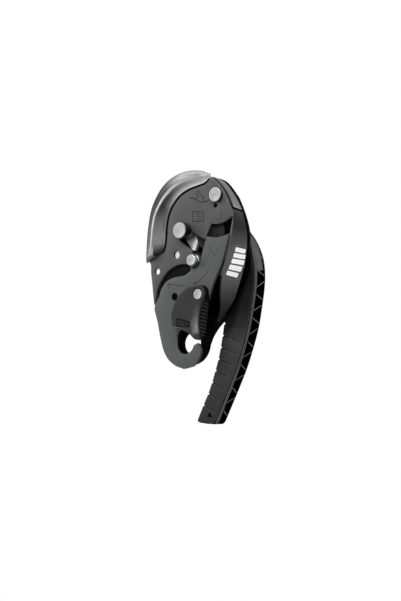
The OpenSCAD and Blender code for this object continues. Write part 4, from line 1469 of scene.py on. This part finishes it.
edge_lengths = np.linalg.norm(np.diff(GRIP_RIGHT, axis=0), axis=1)
EDGE_DISTANCE = np.concatenate([[0], np.cumsum(edge_lengths)])


def distance_at(z):
    """Distance down the right edge at a height."""
    return float(np.interp(-z, -GRIP_RIGHT[:, 1], EDGE_DISTANCE))


def edge_at(distance):
    """Point, direction and inward normal of the right edge at a distance along it."""
    point, after, before = (
        np.array([float(np.interp(s, EDGE_DISTANCE, GRIP_RIGHT[:, axis])) for axis in (0, 1)])
        for s in (distance, distance + 1, distance - 1))
    along = unit(after - before)
    return point, along, np.array([along[1], -along[0]])


def truss_rib(z, rise):
    """A slanting rib in the right side, from the front at z to the rear at z + rise."""
    start, end = distance_at(z), distance_at(min(88.0, z + rise))
    rows = []
    for t in (0, 0.25, 0.5, 0.75, 1):
        point, along, inward = edge_at(start + (end - start) * t)
        y = (handle_front(point[1]) + 1.5) * (1 - t) + (handle_rear(point[1]) - 0.7) * t
        half = along * 0.5
        outer, deep = point + inward * 0.5, point + inward * 9.3
        near = outer + inward * 0.35
        rows.append([(p[0], y, p[1]) for p in (
            outer + half, outer - inward * 0.15, outer - half, near - half, deep - half,
            deep + half, near + half)])
    return loft(rows)


RIB_LINES = ([(82, 6)] + [(59.3 - 22.1 * k, 6) for k in range(6)]
             + [(75.0 - 22.3 * k, -4.5) for k in range(7)])
ribs = [truss_rib(z, rise) for z, rise in RIB_LINES]

# the right side is closed above the ribs
rows = []
for z in np.linspace(75.5, 110.2, 22):
    point, _, inward = edge_at(distance_at(z))
    outer = point + inward * (1.4 - 0.9 * clamp((z - 86) / 16))
    inner = point + inward * 9.2
    y_front, y_rear = handle_front(z) + 1.4, handle_rear(z) - 0.6
    rows.append([(outer[0], y_front, outer[1]), (outer[0], y_rear, outer[1]),
                 (inner[0], y_rear, inner[1]), (inner[0], y_front, inner[1])])
panel = loft(rows)

rows = []
y_front, y_rear = handle_front(100) + 1.4, handle_rear(100) - 0.6
for degrees in np.linspace(HUB_END, HUB_START, 60):
    row = []
    for inset, y in ((0.5, y_front), (0.5, y_rear), (4, y_rear), (4, y_front)):
        x, z = polar(CAM_AXLE, HUB_R - inset, degrees)
        row.append((x, y, z))
    rows.append(row)
hub_wall = loft(rows)


def skin_tone(x, y, z):
    """Painted light and shade of the front skin: painted shade by height, with a painted
    highlight on the rounded edge.
    """
    grip = float(np.interp(z, [-60, -20, 4, 18, 36, 70, 90, 110],
                           [0.25, 0.31, 0.35, 0.27, 0.17, 0.11, 0.14, 0.22]))
    return grip + (0.25 if 0.02 < y - handle_front(z) < 0.30 else 0.0)


# painted light on the truss ribs: lit outer faces, the rest in painted shadow
TRUSS_TONES = [1.0, 1.0, 1.0, 0.02, 0.01, 0.01, 0.02]
# painted light and shade: a lighter strip on the right, the base and the rear flange's front face
# in painted shadow
tones = [skin_tone(*v) for v in front_skin[0]]
tones += [0.42 + 0.16 * (y - handle_front(z) > 0.05) for _, y, z in front_strip[0]]
tones += [0.03] * len(front_base[0])
tones += [0.05 if y - handle_rear(z) < -0.45 else 0.60 for _, y, z in rear_flange[0]]
tones += [0.22] * len(boss[0])
tones += [0.55] * (len(panel[0]) + len(hub_wall[0]))
for rib in ribs:
    tones += TRUSS_TONES * (len(rib[0]) // len(TRUSS_TONES))
add_piece("handle_shell",
          join(front_skin, front_strip, front_base, rear_flange, boss, panel, hub_wall, *ribs),
          HANDLE_NYLON, "handle", "handle", smooth=35, attrs={"sh": tones})

# core between the flanges, with the button's hole in its rear part only
verts, faces = join(
    slab([core_outline] + hub_holes, 11.4, 15.0, 0.02, 0.02, 1, grid=9),
    slab([core_outline, hub_holes[0], circle(BUTTON, 6.26, 48)] + screw_holes,
         14.98, 22.4, 0.02, 0.02, 1, grid=9))
verts = [(x, min(max(y, handle_front(z) + 1.5), handle_rear(z) - 0.8), z) for x, y, z in verts]
# painted shadow in the windows, lighter just inside the left edge below z = 92
tones = [0.015 + (0.32 * clamp((left_x(z) + 5.0 - x) / 3.0) if z < 92 else 0.0)
         for x, y, z in verts]
add_piece("handle_web", (verts, faces), HANDLE_NYLON, "handle", None,
          smooth=35, attrs={"sh": tones})

# a near-black patch paints the shade of a small triangular recess near the end
triangle = ccw(soft_poly([(18.2, -66.2), (25.0, -66.4), (21.0, -61.2)], 0.8, 3))
add_piece("handle_end_recess_shade",
          shift_y(slab([triangle], 0, 0.3, 0.1, 0.05, 2), lambda z: handle_front(z) - 0.02),
          NEAR_BLACK_LABEL_AND_SHADE, "handle", None)

# raised border and lines on the rear
border_left = [p for p in left_edge(3.2) if -66 < p[1] < 46]
border_right = [p for p in GRIP_RIGHT + RIGHT_INWARD * 3.2 if -66 < p[1] < 56]
border = np.array(border_left + border_right + border_left[:2])
parts = [ribbon(curve(border[::3], 3), 0.9, 0, 0.28)]
for z, degrees, length in GROOVES:
    start = np.array([left_x(z) + 5.0, z])
    run = groove_direction(degrees) * max(6.0, length * 0.9)
    parts.append(ribbon([start + run * t for t in (0, 0.25, 0.5, 0.75, 1.0)], 0.9, 0, 0.26))
verts, faces = join(*parts)
add_piece("handle_rear_relief", ([(x, handle_rear(z) - y, z) for x, y, z in verts], faces),
          BUTTON_NYLON, "handle", None, smooth=60)

add_piece("button_cap", join(
    slab([circle(BUTTON, 6.2, 56)], 23.6, 25.5, 0.1, 0.9, 5),
    slab([circle(BUTTON, 6.18, 56), circle(BUTTON, 4.2, 48)], 18.5, 23.7, 0.1, 0.1, 1),
    slab([circle(BUTTON, 4.4, 48), circle(BUTTON, 3.7, 48)], 25.2, 25.5, 0.05, 0.12, 2)),
    BUTTON_NYLON, "button", "handle_button")

# ---------------------------------------------------------------- marks on the opening plates
# width, curve steps between points (0 for straight lines), points (x, z)
MARKS = [
    (0.875, 3, [(-8, 139.5), (-5.8, 142), (-3.4, 138.6), (1.2, 135.7), (1, 131.6), (-5, 131.7),
                (-7.5, 134.2), (-5.5, 136.7), (-8, 139.5)]),
    (1.0, 4, [(-16.1, 134), (-12.4, 134.7), (-7, 133.3)]),
    (1.0, 4, [(0.9, 132.3), (4.3, 132.5), (7.5, 133.9)]),
    (0.875, 3, [(-10, 121.5), (-7, 122.6), (-3.5, 122.1), (-0.2, 123.2), (3.3, 122.8)]),
    (0.875, 0, [(3.3, 122.8), (4.7, 113.8)]),
    (0.875, 3, [(4.7, 113.8), (1.2, 114.3), (-2.1, 113.1), (-5.6, 113.6), (-8.5, 112.5)]),
    (0.875, 0, [(-8.5, 112.5), (-10, 121.5)]),
    (0.75, 0, [(-3.5, 122.1), (-2.1, 113.1)]),
    (0.625, 0, [(-2, 120.4), (2.2, 121.1)]),
    (0.625, 0, [(-1.7, 118.3), (2.5, 118.9)]),
    (0.625, 0, [(-1.4, 116.2), (2.8, 116.8)]),
    (0.625, 0, [(-8.3, 119.8), (-4.6, 120.3)]),
    (0.625, 0, [(-8, 117.6), (-4.3, 118.1)]),
    (0.625, 4, [(22.8, 124.6), (24.9, 121.9), (24.6, 118.5), (21.4, 116.9)]),
    (0.625, 3, [(16.6, 93), (16.4, 88.9), (21.2, 85.4)]),
    (0.625, 0, [(16.1, 84.9), (15.1, 80.8)]),
    (0.625, 0, [(20.7, 83.3), (24.8, 84.7)]),
    (0.625, 0, [(24.6, 91.1), (25.8, 86.9)]),
    (0.6875, 5, [(17.5, 71), (15.6, 66.8), (12.7, 63.2), (7.5, 58), (1.1, 54.7)]),
    (0.625, 0, [(4.8, 58.4), (1.1, 54.7), (5.8, 54.2)]),
    (0.625, 3, [(-28.9, 51.8), (-9.7, 52.1)]),
    (0.625, 0, [(-26.3, 53.7), (-29.6, 51.8), (-26.6, 48)]),
]
add_piece("engraved_marks", join(*[
    ribbon(curve(points, steps) if steps else points, width, PLATE_FRONT, 0.05)
    for width, steps, points in MARKS]),
    MARK_DARK, "opening_plate", None, smooth=60)

# ---------------------------------------------------------------- camera
CAMERA_AZIMUTH, CAMERA_ROLL = math.radians(39), math.radians(7)
CAMERA_DISTANCE = 2.5                           # m
VIEW_WIDTH = 558.93                             # mm across the picture at the target
SENSOR_WIDTH = 36
scene = bpy.context.scene
scene.view_settings.view_transform = "Standard"
scene.view_settings.look = "None"
UP = Vector((0, 0, 1))
level_right = Vector((math.cos(CAMERA_AZIMUTH), math.sin(CAMERA_AZIMUTH), 0))
view = Vector((-math.sin(CAMERA_AZIMUTH), math.cos(CAMERA_AZIMUTH), 0))
right = level_right * math.cos(CAMERA_ROLL) + UP * math.sin(CAMERA_ROLL)
up = -level_right * math.sin(CAMERA_ROLL) + UP * math.cos(CAMERA_ROLL)
target = (Vector((4.5, -12.5, 0)) + right * 11.16 + up * 39.5) * MM
camera_data = bpy.data.cameras.new("camera")
camera_data.type = "PERSP"
camera_data.sensor_fit = "AUTO"
camera_data.sensor_width = SENSOR_WIDTH
camera_data.lens = SENSOR_WIDTH * CAMERA_DISTANCE / (VIEW_WIDTH * MM)
camera_data.clip_start, camera_data.clip_end = 0.1, 20
camera = bpy.data.objects.new("camera", camera_data)
scene.collection.objects.link(camera)
camera.matrix_world = Matrix([(right[i], up[i], -view[i], target[i] - view[i] * CAMERA_DISTANCE)
                              for i in range(3)] + [(0, 0, 0, 1)])
scene.camera = camera

# ---------------------------------------------------------------- world
# the camera sees white; everything else is lit by a grey sky, darker below
world = bpy.data.worlds.new("studio")
scene.world = world
node, _ = shader_graph(world)
direction = node("TexCoord", {}).outputs["Generated"]
height = node("SeparateXYZ", {0: direction}).outputs["Z"]
share = node("MapRange", {"Value": height, "From Min": -1, "From Max": 1}).outputs[0]
sky = colour_ramp(node, share, [(0.0, (0.10, 0.10, 0.10)), (0.5, (0.28, 0.28, 0.28)),
                                (1.0, (0.75, 0.75, 0.76))])
lighting = node("Background", {"Color": sky.outputs[0], "Strength": 0.65})
backdrop = node("Background", {"Color": (1, 1, 1, 1), "Strength": 1.0})
seen = node("LightPath", {}).outputs["Is Camera Ray"]
mixed = node("MixShader", {0: seen, 1: lighting.outputs[0], 2: backdrop.outputs[0]})
node("OutputWorld", {0: mixed.outputs[0]})


# ---------------------------------------------------------------- lights
def softbox(name, place, size, energy, spread=180, glossy=True):
    """An area light. place is mm to the camera's right, up, and towards the camera."""
    light = bpy.data.lights.new(name, "AREA")
    light.shape = "RECTANGLE"
    light.size, light.size_y = size[0] * MM, size[1] * MM
    light.energy = energy
    light.spread = math.radians(spread)
    box = bpy.data.objects.new(name, light)
    scene.collection.objects.link(box)
    aside, above, nearer = place
    middle_of_object = Vector((4.5, -12.5, 45))
    box.location = (middle_of_object + level_right * aside + UP * above - view * nearer) * MM
    aim = Vector((0, 0, 40)) * MM - box.location
    box.rotation_euler = aim.to_track_quat("-Z", "Y").to_euler()
    box.visible_glossy = glossy


softbox("key_upper_left", (-520, 620, 560), size=(420, 420), energy=6.6, spread=150)
softbox("top_strip", (60, 800, 60), size=(700, 220), energy=3.4)
softbox("right_rim", (620, 180, -160), size=(160, 620), energy=1.3)
softbox("left_rim", (-640, 120, -120), size=(160, 620), energy=1.6)
softbox("front_fill", (120, 60, 900), size=(700, 700), energy=2.8)
softbox("back_soft", (-60, 160, -950), size=(420, 420), energy=7.0, glossy=False)

# ---------------------------------------------------------------- floor: a disc below the object
FLOOR_RADII = (120, 240, 330)
SIDES = 64
floor_z = cad_lo[2] * 1000 - 60
verts = [(0, 0, floor_z)]
for radius in FLOOR_RADII:
    verts += [(radius * math.cos(2 * math.pi * i / SIDES),
               radius * math.sin(2 * math.pi * i / SIDES), floor_z) for i in range(SIDES)]
faces = [(0, 1 + i, 1 + (i + 1) % SIDES) for i in range(SIDES)]
for k in range(len(FLOOR_RADII) - 1):
    for i in range(SIDES):
        a, b = 1 + k * SIDES + i, 1 + k * SIDES + (i + 1) % SIDES
        faces.append((a, a + SIDES, b + SIDES, b))

# the camera sees it white; its grey only bounces light
floor_material = bpy.data.materials.new("floor_pale")
node, _ = shader_graph(floor_material)
mottle = node("TexNoise", {"Scale": 30}).outputs["Fac"]
grey = node("MapRange", {"Value": mottle, "To Min": 0.38, "To Max": 0.42}).outputs[0]
bounce = node("BsdfDiffuse", {"Color": grey})
white = node("Emission", {"Color": (1, 1, 1, 1), "Strength": 1.0})
seen = node("LightPath", {}).outputs["Is Camera Ray"]
mixed = node("MixShader", {0: seen, 1: bounce.outputs[0], 2: white.outputs[0]})
node("OutputMaterial", {0: mixed.outputs[0]})
floor_mesh = bpy.data.meshes.new("floor_disc")
floor_mesh.from_pydata([tuple(c * MM for c in v) for v in verts], [], faces)
floor_mesh.materials.append(floor_material)
floor = bpy.data.objects.new("floor_disc", floor_mesh)
scene.collection.objects.link(floor)
